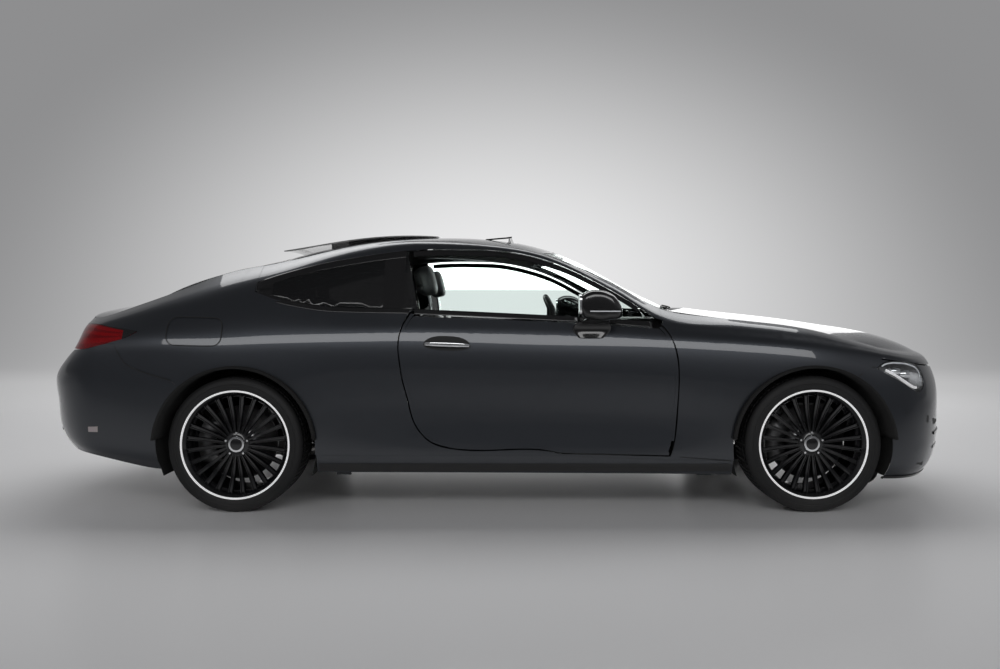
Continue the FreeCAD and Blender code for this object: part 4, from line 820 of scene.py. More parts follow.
def bladeRows(values):
    rows = []
    hubY = values["faceY"] + values["hubRecess"] + values["bladeFrontInner"]
    rimY = values["faceY"] + values["bladeFrontOuter"]
    inner, outer = values["hubRadius"] - values["bladeSink"], values["barrel"] + values["bladeReach"]
    for u in spread(0, 1, 11):
        r = inner + (outer - inner) * u
        face = hubY + (rimY - hubY) * (u ** 1.6) + values["bladeSwell"] * math.sin(math.pi * u)
        wide = values["bladeHalf"] * (0.72 + 0.45 * u)
        deep = 0.030 - 0.008 * u
        ring = [(-wide, deep), (-wide, 0.004), (-wide * 0.82, 0), (-wide * 0.55, 0), (-wide * 0.34, 0.006),
                (wide * 0.34, 0.006), (wide * 0.55, 0), (wide * 0.82, 0), (wide, 0.004), (wide, deep)]
        rows.append([Vector((r, face + depth, across)) for across, depth in ring])
    return rows


def rimPiece(name, end, values):
    size = values[end]
    half = size["width"] / 2
    face = values["faceY"]
    inner = face + 2 * half
    centre = (size["x"], 0, size["radius"])
    r, hubR = values["barrel"], values["hubRadius"]
    bead, edge = values["bead"] - 0.001, values["ringInner"] - 0.001
    barrel = [(edge, face + 0.004), (r + 0.012, face + 0.016), (r + 0.003, face + 0.030),
              (r - 0.004, face + 0.060), (r - 0.004, inner - 0.016),
              (values["ringOuter"] - 0.006, inner - 0.004), (bead, inner - 0.018), (r + 0.006, inner - 0.040),
              (r + 0.006, face + 0.066), (bead, face + 0.030), (bead, face + 0.014), (edge, face + 0.004)]
    hubY, capR, bore = face + values["hubRecess"], values["capRadius"], values["spindleBore"]
    hub = [(0.0001, hubY + 0.005), (capR + 0.002, hubY + 0.005), (capR + 0.006, hubY + 0.008),
           (hubR - 0.008, hubY + 0.010), (hubR, hubY + 0.018), (hubR + 0.002, hubY + 0.048),
           (bore, hubY + 0.048), (bore, hubY + 0.020), (0.0001, hubY + 0.020)]
    pieces = [lathe(name, barrel, centre, 120), lathe(name + "Hub", hub, centre, 60)]
    blade = roundedTube(name + "Blade", bladeRows(values))
    for k in range(values["bladeCount"]):
        turn = Matrix.Rotation(2 * math.pi * (k + 0.5) / values["bladeCount"], 4, "Y")
        pieces.append(copyPiece(blade, name + "Blade", Matrix.Translation(centre) @ turn))
    bpy.data.objects.remove(blade)
    return joinPieces(pieces, name)


def wheelLathe(name, end, values, profile, count):
    return lathe(name, profile, (values[end]["x"], 0, values[end]["radius"]), count)


def ringPiece(name, end, values):
    face, outer, inner = values["faceY"], values["ringOuter"], values["ringInner"]
    profile = [(outer, face + 0.004), (outer, face + 0.002), (outer - 0.002, face + 0.0005),
               (inner + 0.002, face + 0.001), (inner, face + 0.003), (inner, face + 0.008),
               (outer - 0.006, face + 0.008), (outer, face + 0.004)]
    return wheelLathe(name, end, values, profile, 128)


def capPiece(name, end, values):
    hubY = values["faceY"] + values["hubRecess"]
    r = values["capRadius"]
    profile = [(0.0001, hubY - 0.001), (r * 0.55, hubY), (r * 0.60, hubY + 0.0015), (r * 0.64, hubY),
               (r * 0.95, hubY + 0.001), (r, hubY + 0.004), (r, hubY + 0.010), (0.0001, hubY + 0.010)]
    return wheelLathe(name, end, values, profile, 64)


def middlePiece(name, end, values):
    hubY = values["faceY"] + values["hubRecess"]
    r = values["capRadius"] * 0.72
    profile = [(0.0001, hubY - 0.0022), (r * 0.9, hubY - 0.0018), (r, hubY - 0.0008), (r, hubY + 0.004),
               (0.0001, hubY + 0.004)]
    return wheelLathe(name, end, values, profile, 48)


def boltsPiece(name, end, values):
    size = values[end]
    hubY = values["faceY"] + values["hubRecess"]
    profile = [(0.0001, -0.004), (0.0055, -0.004), (0.007, -0.002), (0.0075, 0.010), (0.0001, 0.010)]
    bolts = []
    for k in range(values["boltCount"]):
        turn = 2 * math.pi * (k + 0.25) / values["boltCount"]
        place = (size["x"] + values["boltCircle"] * math.cos(turn), hubY + 0.008,
                 size["radius"] + values["boltCircle"] * math.sin(turn))
        bolts.append(lathe(name, profile, place, 6))
    return joinPieces(bolts, name)


for end in ("front", "rear"):
    label = end.capitalize()
    kinds = (("tyre", tyrePiece, "rubber", "tyre_"), ("rim", rimPiece, "wheelBlack", "rim_"),
             ("ring", ringPiece, "brightRing", None), ("hubCap", capPiece, "chrome", None),
             ("hubMiddle", middlePiece, "wheelBlack", None), ("wheelBolts", boltsPiece, "chrome", None))
    for kind, maker, finish, node in kinds:
        right = maker(kind + label + "Right", end, wheel)
        left = copyPiece(right, kind + label + "Left", mirrorSide)
        for piece, side in ((right, "right"), (left, "left")):
            replaced = (node + end + "_" + side,) if node else ()
            finishPiece(piece, finish, "wheel_%s_%s" % (end, side), replaced=replaced, smooth=30)
print("wheels are made")


def thicken(piece, depth, bevel=0.0):
    if depth:
        applyTool(piece, "SOLIDIFY", thickness=depth, offset=-1)
    if bevel:
        applyTool(piece, "BEVEL", width=bevel, segments=2, limit_method="ANGLE", angle_limit=math.radians(50))
    return piece


# Trim that lies on the body side. Outlines are place and height in side view.
def heightOn(points, x):
    ordered = sorted(points)
    places, heights = [p[0] for p in ordered], [[p[1]] for p in ordered]
    return smoothValues(places, heights, min(max(x, places[0]), places[-1]))[0]


def sidePatch(name, lower, upper, x0, x1, columns, rows, lift, depth, bevel=0.0):
    grid = []
    for x in spread(x0, x1, columns):
        bottom, top = lower(x), upper(x)
        row = []
        for z in spread(bottom, max(top, bottom + 0.0004), rows):
            point, normal = skinFrame(x, z)
            row.append(point + normal * lift)
        grid.append(row)
    piece = turnOutwards(gridPiece(name, grid))
    return thicken(piece, depth, bevel)


def smoothPath(points, count, closed=False):
    spots = list(points) + ([points[0]] if closed else [])
    marks = [0.0]
    for a, b in zip(spots, spots[1:]):
        marks.append(marks[-1] + math.dist(a, b))
    return [tuple(smoothValues(marks, spots, at)) for at in spread(0, marks[-1], count)]


def skinBand(name, path, width, lift, depth, closed=False):
    frames = [skinFrame(x, z) for x, z in path]
    last = len(frames) - 1
    grid = []
    for k, (point, normal) in enumerate(frames):
        before = frames[k - 1 if k else (last - 1 if closed else 0)][0]
        after = frames[k + 1 if k < last else (1 if closed else last)][0]
        across = normal.cross((after - before).normalized()).normalized()
        wide = width(k / last) if callable(width) else width
        grid.append([point + across * wide * v + normal * lift for v in spread(-0.5, 0.5, 5)])
    piece = turnOutwards(gridPiece(name, grid))
    thicken(piece, depth)
    if closed:
        applyTool(piece, "WELD", merge_threshold=mergeGap)
    return piece


belt = ((-1.237, 1.097), (-1.125, 1.057), (-.975, 1.026), (-.860, 1.011), (-.665, 1.004), (-.431, .999),
        (.305, .965), (.510, .953), (.806, .931))
windowTop = ((-1.237, 1.148), (-1.106, 1.193), (-.927, 1.240), (-.749, 1.273), (-.570, 1.300), (-.389, 1.318),
             (-.189, 1.322), (.050, 1.308), (.316, 1.238), (.538, 1.129), (.677, 1.045), (.790, .963))
trim = {"seamWidth": 0.0042, "seamLift": 0.0032}


def beltZ(x):
    return heightOn(belt, x)


def topZ(x):
    return heightOn(windowTop, x)


doors = ("door_right", "door_left")


def belowTop(drop):
    return lambda x: topZ(x) - drop


def aboveBelt(rise):
    return lambda x: beltZ(x) + rise


# Name, lower edge, upper edge, first and last place, columns, rows, lift, depth, bevel and bodies.
windowTrim = (
    ("beltTrim", aboveBelt(-0.013), aboveBelt(0.012), -0.425, 0.755, 60, 5, 0.0012, 0.004, 0.0012, doors),
    ("windowEdge", belowTop(0.034), belowTop(0.008), -0.440, 0.700, 60, 5, 0.0, 0.0035, 0, doors),
    ("quarterBeltTrim", aboveBelt(-0.012), aboveBelt(0.012), -1.228, -0.452, 44, 5, 0.0012, 0.004, 0.0012,
     "body_shell"),
    ("quarterTopTrim", belowTop(0.034), belowTop(-0.001), -1.228, -0.478, 44, 5, 0.0012, 0.004, 0.0012,
     "body_shell"),
    ("quarterTipTrim", aboveBelt(0.004), belowTop(0.004), -1.232, -1.150, 12, 7, 0.0004, 0.003, 0,
     "body_shell"),
    ("pillarTrim", aboveBelt(0.004), belowTop(0.004), -0.585, -0.478, 10, 24, -0.0005, 0.003, 0,
     "body_shell"),
)
for name, lower, upper, first, last, columns, rows, lift, depth, bevel, body in windowTrim:
    patch = sidePatch(name + "Right", lower, upper, first, last, columns, rows, lift, depth, bevel)
    bothSides(patch, "glossBlack", body)
print("window trim is on")

handle = {"x": -0.258, "z": 0.830, "halfLength": 0.117, "recessHalf": 0.046, "bladeHeight": 0.022,
          "proud": 0.026, "slope": -0.035, "gap": 0.002, "thickness": 0.009}


def recessEdge(side):
    def edge(x):
        v = min(abs((x - handle["x"]) / handle["halfLength"]), 1)
        slope = handle["slope"] * (x - handle["x"])
        return handle["z"] + slope + side * handle["recessHalf"] * (1 - v**2.4) ** 0.5
    return edge


# A flat dark patch over the handle: painted shade for the recess behind it.
bothSides(sidePatch("handleRecessRight", recessEdge(-0.55), recessEdge(1), handle["x"] - handle["halfLength"],
                    handle["x"] + handle["halfLength"], 40, 14, 0.0035, 0), "seal", doors)


def handleBlade(values):
    rows = []
    for u in spread(-1, 1, 37):
        x = values["x"] + u * (values["halfLength"] - 0.004)
        z = values["z"] + values["slope"] * u * values["halfLength"] + values["gap"]
        point, normal = skinFrame(x, z)
        proud = values["proud"] * (1 - abs(u) ** 6) * 0.9 + values["gap"]
        tall = values["bladeHeight"] * (0.62 + 0.38 * (1 - abs(u) ** 3))
        deep = values["thickness"] * (1 - 0.6 * abs(u) ** 4)
        up = Vector((0, 0, 1))
        row = []
        for turn in ringTurns(16):
            c, s = math.cos(turn), math.sin(turn)
            row.append(point + normal * (proud - deep / 2 + deep / 2 * math.copysign(abs(c) ** 0.7, c))
                       + up * tall / 2 * math.copysign(abs(s) ** 0.8, s))
        rows.append(row)
    return roundedTube("handleBladeRight", rows)


bothSides(handleBlade(handle), "chrome", doors)


# Shut lines and seams, drawn fine on the panels as dark bands of painted shade where the gaps are.
def seam(name, path, count, closed=False, width=None, both=True):
    piece = skinBand(name + "Right", smoothPath(path, count, closed), width or trim["seamWidth"],
                     trim["seamLift"], 0, closed=closed)
    if both:
        return bothSides(piece, "seal")
    return finishPiece(piece, "seal")


def roundedBox(x0, x1, z0, z1, radius):
    points = []
    left, right, low, high = x0 + radius, x1 - radius, z0 + radius, z1 - radius
    for cx, cz, start in ((right, high, 0), (left, high, 90), (left, low, 180), (right, low, 270)):
        for a in (0, 30, 60, 90):
            turn = math.radians(start + a)
            points.append((cx + radius * math.cos(turn), cz + radius * math.sin(turn)))
    return points


flap = [(x, z - 0.02 * (x + 1.51)) for x, z in roundedBox(-1.649, -1.374, 0.829, 0.967, 0.045)]
seam("fuelFlapLine", flap, 90, closed=True, both=False)
seam("bumperSeamFront", ((1.778, .678), (1.845, .720), (1.868, .722)), 16)
seam("bumperSeamRear", ((-1.618, .655), (-1.640, .664), (-1.691, .678), (-1.782, .708), (-1.849, .741),
                        (-1.890, .800), (-1.908, .836)), 40)
seam("sillSeamFront", ((.895, .276), (1.020, .268), (1.150, .258)), 16, width=0.003)
bothSides(sidePatch("sillBandRight", lambda x: 0.203, lambda x: 0.243, -0.895, 1.150, 60, 4, 0.0010, 0),
          "mattBlack")
doorRear = ((-.393, .405), (-.426, .463), (-.451, .561), (-.477, .660), (-.491, .750), (-.498, .835),
            (-.481, .921), (-.442, .990))
doorFoot = ((.700, .2875), (.500, .2923), (.301, .2975), (.252, .308), (.200, .3152), (.100, .3177),
            (0.0, .3137), (-.082, .311), (-.200, .3164), (-.246, .323), (-.336, .352), (-.393, .405))
doorFront = ((.812, .925), (.840, .892), (.866, .835), (.885, .737), (.888, .639), (.885, .561), (.873, .392),
             (.868, .355))
hem = {"width": 0.0155, "inset": 0.0088, "lift": 0.0009, "depth": 0.0022}


def insetPath(points, distance):
    moved = []
    for k, (x, z) in enumerate(points):
        ahead, behind = points[min(k + 1, len(points) - 1)], points[max(k - 1, 0)]
        run, rise = ahead[0] - behind[0], ahead[1] - behind[1]
        length = math.hypot(run, rise)
        side = Vector((-rise / length, run / length))
        if (0.2 - x) * side.x + (0.65 - z) * side.y < 0:
            side = -side
        moved.append((x + side.x * distance, z + side.y * distance))
    return moved


for path, count in ((doorFront, 50), (((.842, .2845),) + doorFoot + doorRear[1:], 130)):
    piece = skinBand("doorHemRight%d" % count, insetPath(smoothPath(path, count), hem["inset"]), hem["width"],
                     hem["lift"], hem["depth"])
    bothSides(piece, "paint", doors, "doorHem%d" % count)
print("side trim is on")


# Patches that wrap round the nose or the tail, between two lines of the body surface.
def skinNormal(column, line):
    point = skinPoint(column, line)
    other = skinPoint(column, line + 0.05 if line < 6.9 else line - 0.05)
    up = (other - point) * (1 if line < 6.9 else -1)
    if isinstance(column, tuple):
        step = -0.8 if column[1] > 1 else 0.8
        beside = skinPoint((column[0], column[1] + step), line) - point
        along = beside * (1 if (step < 0) == (column[0] == "nose") else -1)
    elif column < 1.9:
        along = point - skinPoint(column + 0.004, line)
    else:
        along = skinPoint(column - 0.004, line) - point
    normal = along.cross(up).normalized()
    return normal if normal.dot(Vector((point.x, point.y * 2, 0))) > 0 else -normal


def wrapPatch(name, columns, lows, highs, rows, lift, depth=0.0, whole=True, bevel=0.0):
    grid = []
    for k, column in enumerate(columns):
        u = k / (len(columns) - 1)
        low = lows(u) if callable(lows) else lows
        high = highs(u) if callable(highs) else highs
        lifting = lift(u) if callable(lift) else lift
        grid.append([skinPoint(column, r) + skinNormal(column, r) * lifting for r in spread(low, high, rows)])
    piece = turnOutwards(gridPiece(name, grid))
    if whole:
        applyTool(piece, "MIRROR", use_axis=acrossCar, use_mirror_merge=True, merge_threshold=0.0005)
    return thicken(piece, depth, bevel)


def noseTurns(first, last, count):
    return [("nose", t) for t in spread(first, last, count)]


def tailTurns(first, last, count):
    return [("tail", t) for t in spread(first, last, count)]


# Headlamps: a clear lens over a grey bowl with two projectors and a light strip.
headlamp = {
    "lower": ((1.871, .715), (1.986, .658), (2.085, .601), (2.117, .595), (2.145, .618)),
    "upper": ((1.871, .7155), (1.931, .749), (2.014, .751), (2.073, .740), (2.123, .716), (2.142, .686),
              (2.145, .660)),
    "first": 1.876, "last": 2.1435, "bowlDepth": 0.060, "projectorSink": 0.034,
    "projectors": ((2.000, .705, .019), (2.060, .690, .023)),
}


def lampLower(x):
    return heightOn(headlamp["lower"], x) + 0.001


def lampUpper(x):
    return heightOn(headlamp["upper"], x) - 0.001


def bowlPiece(name, lower, upper, x0, x1, columns, rows, depth):
    grid = []
    for x in spread(x0, x1, columns):
        u = abs(2 * (x - x0) / (x1 - x0) - 1)
        tall = upper(x) - lower(x)
        row = []
        for z in spread(lower(x), upper(x), rows):
            v = abs(2 * (z - lower(x)) / max(tall, 0.0001) - 1)
            point, normal = skinFrame(x, z)
            row.append(point - normal * (0.0045 + depth * (1 - max(u, v) ** 7) * min(1, tall / 0.05)))
        grid.append(row)
    return turnOutwards(gridPiece(name, grid))


bothSides(sidePatch("headlampLensRight", lampLower, lampUpper, headlamp["first"], headlamp["last"], 48, 14,
                    0.0005, 0.003), "lampClear", replaced=("headlamps",))
bothSides(bowlPiece("headlampBowlRight", lampLower, lampUpper, headlamp["first"], headlamp["last"], 44, 22,
                    headlamp["bowlDepth"]), "lampGrey")
for k, (x, z, radius) in enumerate(headlamp["projectors"]):
    point, normal = skinFrame(x, z)
    centre = point - normal * headlamp["projectorSink"]
    shape = [(0.0001, -0.030), (radius * 0.8, -0.030), (radius, -0.010), (radius, 0.012),
             (radius * 0.93, 0.015), (radius * 0.88, 0.012), (radius * 0.86, 0.006), (radius * 0.80, 0.008),
             (radius * 0.55, 0.018), (0.0001, 0.022)]
    unit = lathe("projector%dRight" % (k + 1), shape, centre, 40, axis="X")
    bothSides(unit, "chrome")
stripPath = [(x, lampUpper(x) - 0.009) for x in spread(1.905, 2.110, 30)]
stripPath += [(2.128, .694), (2.134, .672), (2.135, .645)]
shelfPath = [(x, lampLower(x) + 0.022) for x in spread(1.930, 2.115, 20)]
bothSides(skinBand("lightStripRight", smoothPath(stripPath, 60), 0.007, -0.006, 0.003), "lightGuide")
# The lamp shelf carries a painted glow.
bothSides(skinBand("lampShelfRight", smoothPath(shelfPath, 40), 0.012, -0.016, 0.006), "brightRing")
print("headlamps are lit")

# Tail lamps: a red lens that wraps the corner, with brighter blades inside and a black tip.
tailLamp = {
    "lower": ((-2.60, .811), (-2.20, .811), (-2.068, .812), (-1.939, .842), (-1.865, .863), (-1.797, .899)),
    "upper": ((-2.60, .930), (-2.20, .9335), (-2.043, .937), (-1.930, .921), (-1.797, .9005)),
}


def columnLineFor(column, height):
    low, high = 2.0, 6.9
    for step in range(16):
        middle = (low + high) / 2
        point = skinPoint(column, middle)
        if point.z < height(point.x):
            low = middle
        else:
            high = middle
    return (low + high) / 2


def lampEdges(columns, lower, upper):
    lows = [columnLineFor(c, lower) for c in columns]
    highs = [columnLineFor(c, upper) for c in columns]
    return (lambda u: lows[round(u * (len(lows) - 1))]), (lambda u: highs[round(u * (len(highs) - 1))])


def tailLower(x):
    return heightOn(tailLamp["lower"], x) + 0.001


def tailUpper(x):
    return max(heightOn(tailLamp["upper"], x) - 0.001, tailLower(x) + 0.0005)


lampColumns = spread(-1.803, -2.0, 22) + tailTurns(2, 61.5, 34)
lampLows, lampHighs = lampEdges(lampColumns, tailLower, tailUpper)
bothSides(wrapPatch("tailLensRight", lampColumns, lampLows, lampHighs, 12, 0.0006, 0.003, False), "lampRed",
          replaced=("tail_lamps",))
bothSides(wrapPatch("tailBowlRight", lampColumns, lampLows, lampHighs, 12,
                    lambda u: -0.006 - 0.028 * (1 - abs(2 * u - 1) ** 6), 0, False), "lampDark")
bladeColumns = spread(-1.875, -2.0, 14) + tailTurns(2, 59, 30)
bladeLows, bladeHighs = lampEdges(bladeColumns, tailLower, tailUpper)


def betweenEnds(share, drift):
    return lambda u: bladeLows(u) + (bladeHighs(u) - bladeLows(u)) * (share + drift * u)


for k, (start, end) in enumerate(((0.10, 0.30), (0.42, 0.58), (0.72, 0.90))):
    bothSides(wrapPatch("tailBlade%dRight" % (k + 1), bladeColumns, betweenEnds(start, 0.05),
                        betweenEnds(end, -0.04), 4, -0.0045, 0.004, False), "lampGlow")
tipColumns = spread(-1.801, -1.872, 12)
tipLows, tipHighs = lampEdges(tipColumns, tailLower, tailUpper)
bothSides(wrapPatch("tailTipRight", tipColumns, tipLows, tipHighs, 6, 0.0016, 0.002, False), "glossBlack")
topColumns = spread(-1.860, -2.0, 12) + tailTurns(2, 61, 26)
topHighs = lampEdges(topColumns, tailLower, tailUpper)[1]
bothSides(wrapPatch("tailTopEdgeRight", topColumns, lambda u: topHighs(u) - 0.08, topHighs, 3, 0.0016, 0.002,
                    False), "glossBlack")
finishPiece(wrapPatch("bootLightBar", tailTurns(67, 90, 24), 4.80, 5.10, 4, 0.0012, 0.002), "lampRed",
            "boot_lid")
print("tail lamps are lit")

# Front end: grille frame and slats, lower intakes, air slots and the splitter lip.
grille = {"slats": 6, "lowLine": 2.18, "highLine": 3.92, "studSize": 0.0055}
for name, first, low, high in (("grilleTopBar", 65.5, 3.93, 4.03), ("grilleLowBar", 65.0, 2.07, 2.16)):
    bar = wrapPatch(name, noseTurns(first, 90, 30), low, high, 4, 0.004, 0.010, bevel=0.0015)
    finishPiece(bar, "chrome")
bothSides(wrapPatch("grilleSideBarRight", noseTurns(63.2, 65.4, 4), 2.07, 4.03, 24, 0.004, 0.010, False),
          "chrome")
slats = []
for line in spread(grille["lowLine"] + 0.15, grille["highLine"] - 0.12, grille["slats"]):
    slats.append(wrapPatch("grilleSlats", noseTurns(66, 90, 26), line - 0.025, line + 0.025, 3, 0.004, 0.008))
finishPiece(joinPieces(slats, "grilleSlats"), "glossBlack")


def grilleStuds():
    studs = []
    for j, line in enumerate(spread(grille["lowLine"] + 0.05, grille["highLine"] - 0.05, 14)):
        for k in range(10):
            column = ("nose", 66.5 + 2.4 * (k + (j % 2) / 2))
            if column[1] > 89.5:
                continue
            point, normal = skinPoint(column, line), skinNormal(column, line)
            across = normal.cross(Vector((0, 0, 1))).normalized()
            up = across.cross(normal)
            centre = point + normal * 0.001
            stud = []
            for s, h in ((1, 0), (0.6, 0.003), (0.02, 0.0038)):
                ways = [across * math.cos(t) + up * math.sin(t) * 0.8 for t in spread(0, 2 * math.pi, 7)]
                stud.append([centre + way * grille["studSize"] * s + normal * h for way in ways])
            studs.append(gridPiece("grilleStuds", stud))
    whole = joinPieces(studs, "grilleStuds")
    applyTool(whole, "MIRROR", use_axis=acrossCar)
    return whole


# The grille studs carry a painted glow.
finishPiece(grilleStuds(), "brightRing")
finishPiece(wrapPatch("lowIntake", noseTurns(66, 90, 24), 1.15, 1.72, 6, 0.0012), "mattBlack")
bars = [wrapPatch("lowIntakeBars", noseTurns(66.5, 90, 24), line - 0.02, line + 0.02, 3, 0.008, 0.005)
        for line in (1.30, 1.44, 1.58)]
finishPiece(joinPieces(bars, "lowIntakeBars"), "glossBlack")
finishPiece(wrapPatch("lowIntakeFrame", noseTurns(65, 90, 24), 1.74, 1.80, 3, 0.005, 0.006), "glossBlack")
bothSides(skinBand("airSlotRight", smoothPath(((2.176, .470), (2.163, .400), (2.146, .310), (2.122, .225)),
                                              24), lambda u: 0.020 + 0.034 * u, 0.0010, 0), "mattBlack")
bothSides(wrapPatch("cornerIntakeRight", noseTurns(36, 60, 16), lambda u: 1.15 - 0.1 * u,
                    lambda u: 2.05 - 0.25 * u, 8, 0.0012, 0, False), "mattBlack")
for k, line in enumerate((1.38, 1.68)):
    bothSides(wrapPatch("cornerBlade%dRight" % (k + 1), noseTurns(37, 59, 14), line - 0.03, line + 0.03, 3,
                        0.010, 0.005, False), "glossBlack")
finishPiece(wrapPatch("splitterLip", spread(1.915, 1.912, 2) + noseTurns(2, 90, 50), 0.0, 0.20, 4, 0.004,
                      0.006, bevel=0.001), "glossBlack")

# Rear end: diffuser with fins, reflectors and sensors.
finishPiece(wrapPatch("diffuser", tailTurns(40, 90, 40), 0.02, lambda u: 0.55 + 0.35 * min(1, u * 3), 8,
                      0.0015), "mattBlack")
fins = []
for turn in (72, 78, 84):
    fins.append(wrapPatch("diffuserFins", tailTurns(turn, turn + 0.7, 2), 0.03, 0.72, 6, 0.014, 0.016, False))
for fin in fins[:]:
    fins.append(copyPiece(fin, "diffuserFins", mirrorSide))
finishPiece(joinPieces(fins, "diffuserFins"), "glossBlack")
finishPiece(wrapPatch("diffuserTrim", tailTurns(42, 90, 40), 0.92, 0.98, 3, 0.004, 0.005), "glossBlack")
bothSides(sidePatch("rearReflectorRight", lambda x: 0.399 + 0.0025 * (x + 1.954),
                    lambda x: 0.428 - 0.10 * abs(x + 1.954) ** 1.4, -2.047, -1.932, 20, 5, 0.0028, 0.003),
                    "reflector")
# Dark rings round the park sensors: painted shade in their gaps.
for k, (x, z) in enumerate(((-1.905, .470), (2.030, .500))):
    ring = [(x + 0.011 * math.cos(t), z + 0.011 * math.sin(t)) for t in ringTurns(16)]
    bothSides(skinBand("parkSensor%dRight" % (k + 1), smoothPath(ring, 33, True), 0.0012, 0.0005, 0,
                       closed=True), "seal")
print("both ends are dressed")


# Door mirrors, wipers, window borders and the wind deflector.
mirror = {"centre": (0.497, 1.026), "inner": -0.897, "outer": -1.017, "lampLow": 0.997, "lampHigh": 1.002}
mirrorOutline = ((0.400, 0.985), (0.393, 1.030), (0.402, 1.078), (0.432, 1.098), (0.479, 1.104),
                 (0.530, 1.093), (0.572, 1.064), (0.597, 1.024), (0.604, 0.993), (0.590, 0.966),
                 (0.540, 0.957), (0.455, 0.957), (0.413, 0.966))
mirrorShape = ((0.0, 0.66), (0.06, 0.80), (0.22, 0.93), (0.45, 1.0), (0.68, 0.985), (0.84, 0.92),
               (0.94, 0.80), (0.985, 0.60), (1.0, 0.30))


def mirrorPolar(x, z):
    x, z = x - mirror["centre"][0], z - mirror["centre"][1]
    return math.atan2(z, x), math.hypot(z, x)


mirrorAngles = sorted(mirrorPolar(x, z) for x, z in mirrorOutline)
mirrorAngles = ([(a - 2 * math.pi, r) for a, r in mirrorAngles[-3:]] + mirrorAngles
                + [(a + 2 * math.pi, r) for a, r in mirrorAngles[:3]])


def mirrorRadius(turn):
    return smoothValues([a for a, r in mirrorAngles], [[r] for a, r in mirrorAngles], turn)[0]


def mirrorSidePlace(share):
    return mirror["inner"] + (mirror["outer"] - mirror["inner"]) * share


def mirrorPoint(turn, share, scale):
    r, y = mirrorRadius(turn) * scale, mirrorSidePlace(share)
    return Vector((mirror["centre"][0] + r * math.cos(turn), y, mirror["centre"][1] + r * math.sin(turn)))


def mirrorShare(scale):
    falling = [p for p in mirrorShape if p[0] >= 0.45][::-1]
    return smoothValues([p[1] for p in falling], [[p[0]] for p in falling], min(max(scale, 0.3), 1.0))[0]


capTurns = spread(-math.pi, math.pi - 2 * math.pi / 64, 64)
mirrorRows = [[mirrorPoint(turn, share, scale) for turn in capTurns] for share, scale in mirrorShape]
mirrorCap = roundedTube("mirrorCapRight", smoothRows(mirrorRows, 34))
bothSides(mirrorCap, "glossBlack", doors, slot="black_plastic")

glassRow = []
for scale in (1.0, 0.9, 0.5, 0.05):
    row = []
    for turn in spread(-math.pi, math.pi - 2 * math.pi / 40, 40):
        y, z = 0.046 * math.cos(turn), 0.050 * math.sin(turn)
        grow = scale / max(abs(math.cos(turn))**4 + abs(math.sin(turn))**4, 0.2)**0.25
        row.append(Vector((0.3915 - 0.0012 * (1 - scale), -0.957 + y * grow, 1.031 + z * grow)))
    glassRow.append(row)
backRow = [Vector((0.402, p.y, p.z)) for p in glassRow[0]]
mirrorGlass = roundedTube("mirrorGlassRight", [backRow] + glassRow)
bothSides(mirrorGlass, "chrome", doors, slot=None)

lampRows = []
for z in (mirror["lampLow"], mirror["lampHigh"]):
    row = []
    for x in spread(0.440, 0.590, 24):
        turn, reach = mirrorPolar(x, z)
        row.append(Vector((x, mirrorSidePlace(mirrorShare(reach / mirrorRadius(turn))) - 0.0006, z)))
    lampRows.append(row)
mirrorLamp = turnOutwards(gridPiece("mirrorLampRight", lampRows))
thicken(mirrorLamp, 0.003)
bothSides(mirrorLamp, "lightGuide", doors)

# Height, front and rear place, inner and outer side of the foot at each level.
footLevels = (
    (0.868, 0.392, 0.520, -0.868, skinFrame(0.45, 0.868)[0].y - 0.010),
    (0.905, 0.366, 0.556, -0.868, skinFrame(0.46, 0.905)[0].y - 0.014),
    (0.930, 0.372, 0.556, -0.868, -0.902), (0.948, 0.400, 0.548, -0.872, -0.925),
    (0.960, 0.425, 0.548, -0.884, -0.960), (0.975, 0.440, 0.550, -0.890, -0.975),
)


squareness = 0.6


def roundedLevel(x0, x1, y0, y1, z, turn):
    c, s = math.cos(turn), math.sin(turn)
    return Vector(((x0 + x1) / 2 + (x1 - x0) / 2 * math.copysign(abs(c)**squareness, c),
                   (y0 + y1) / 2 + (y1 - y0) / 2 * math.copysign(abs(s)**squareness, s), z))


footRows = [[roundedLevel(x0, x1, y0, y1, z, turn) for turn in ringTurns(40)]
            for z, x0, x1, y0, y1 in footLevels]
mirrorFoot = roundedTube("mirrorFootRight", smoothRows(footRows, 14))
bothSides(mirrorFoot, "glossBlack", doors, slot="black_plastic")
for side in ("Right", "Left"):
    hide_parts("mirror_" + side.lower())


# A strip across the car along one line of a window, or down its two edges.
def windowLine(stations, at):
    marks = [0.0]
    for a, b in zip(stations, stations[1:]):
        marks.append(marks[-1] + math.dist(a[:2], b[:2]))
    middleX, middleZ, edgeX = smoothValues(marks, stations, at * marks[-1])
    edge = skinPoint(edgeX, 7.0)
    return middleX, middleZ, edge


def windowPoint(stations, at, v, lift):
    middleX, middleZ, edge = windowLine(stations, at)
    x1, w1, z1 = edge.x, -edge.y - 0.0005, edge.z
    a = abs(v)
    slope = windowLine(stations, min(at + 0.02, 1)), windowLine(stations, max(at - 0.02, 0))
    run, rise = slope[0][0] - slope[1][0], slope[0][1] - slope[1][1]
    length = math.hypot(run, rise)
    normal = Vector((-rise / length, 0, run / length))
    if normal.z < 0:
        normal = -normal
    return Vector((middleX + (x1 - middleX) * a**2, -w1 * v,
                   middleZ + (z1 - middleZ) * a**2.4)) + normal * lift


def windowStrip(name, stations, ats, vs, lift, depth):
    grid = [[windowPoint(stations, at, v, lift) for v in vs] for at in ats]
    piece = turnOutwards(gridPiece(name, grid), (0, 0, 0.4))
    thicken(piece, depth)
    return piece


rearLines = rearStations[:-1] + ((-1.797, 1.073, -1.711),)
border = {"edge": 0.972, "lift": 0.0009, "depth": 0.0022, "inner": 0.93, "innerLift": -0.0062,
          "innerDepth": 0.0006}


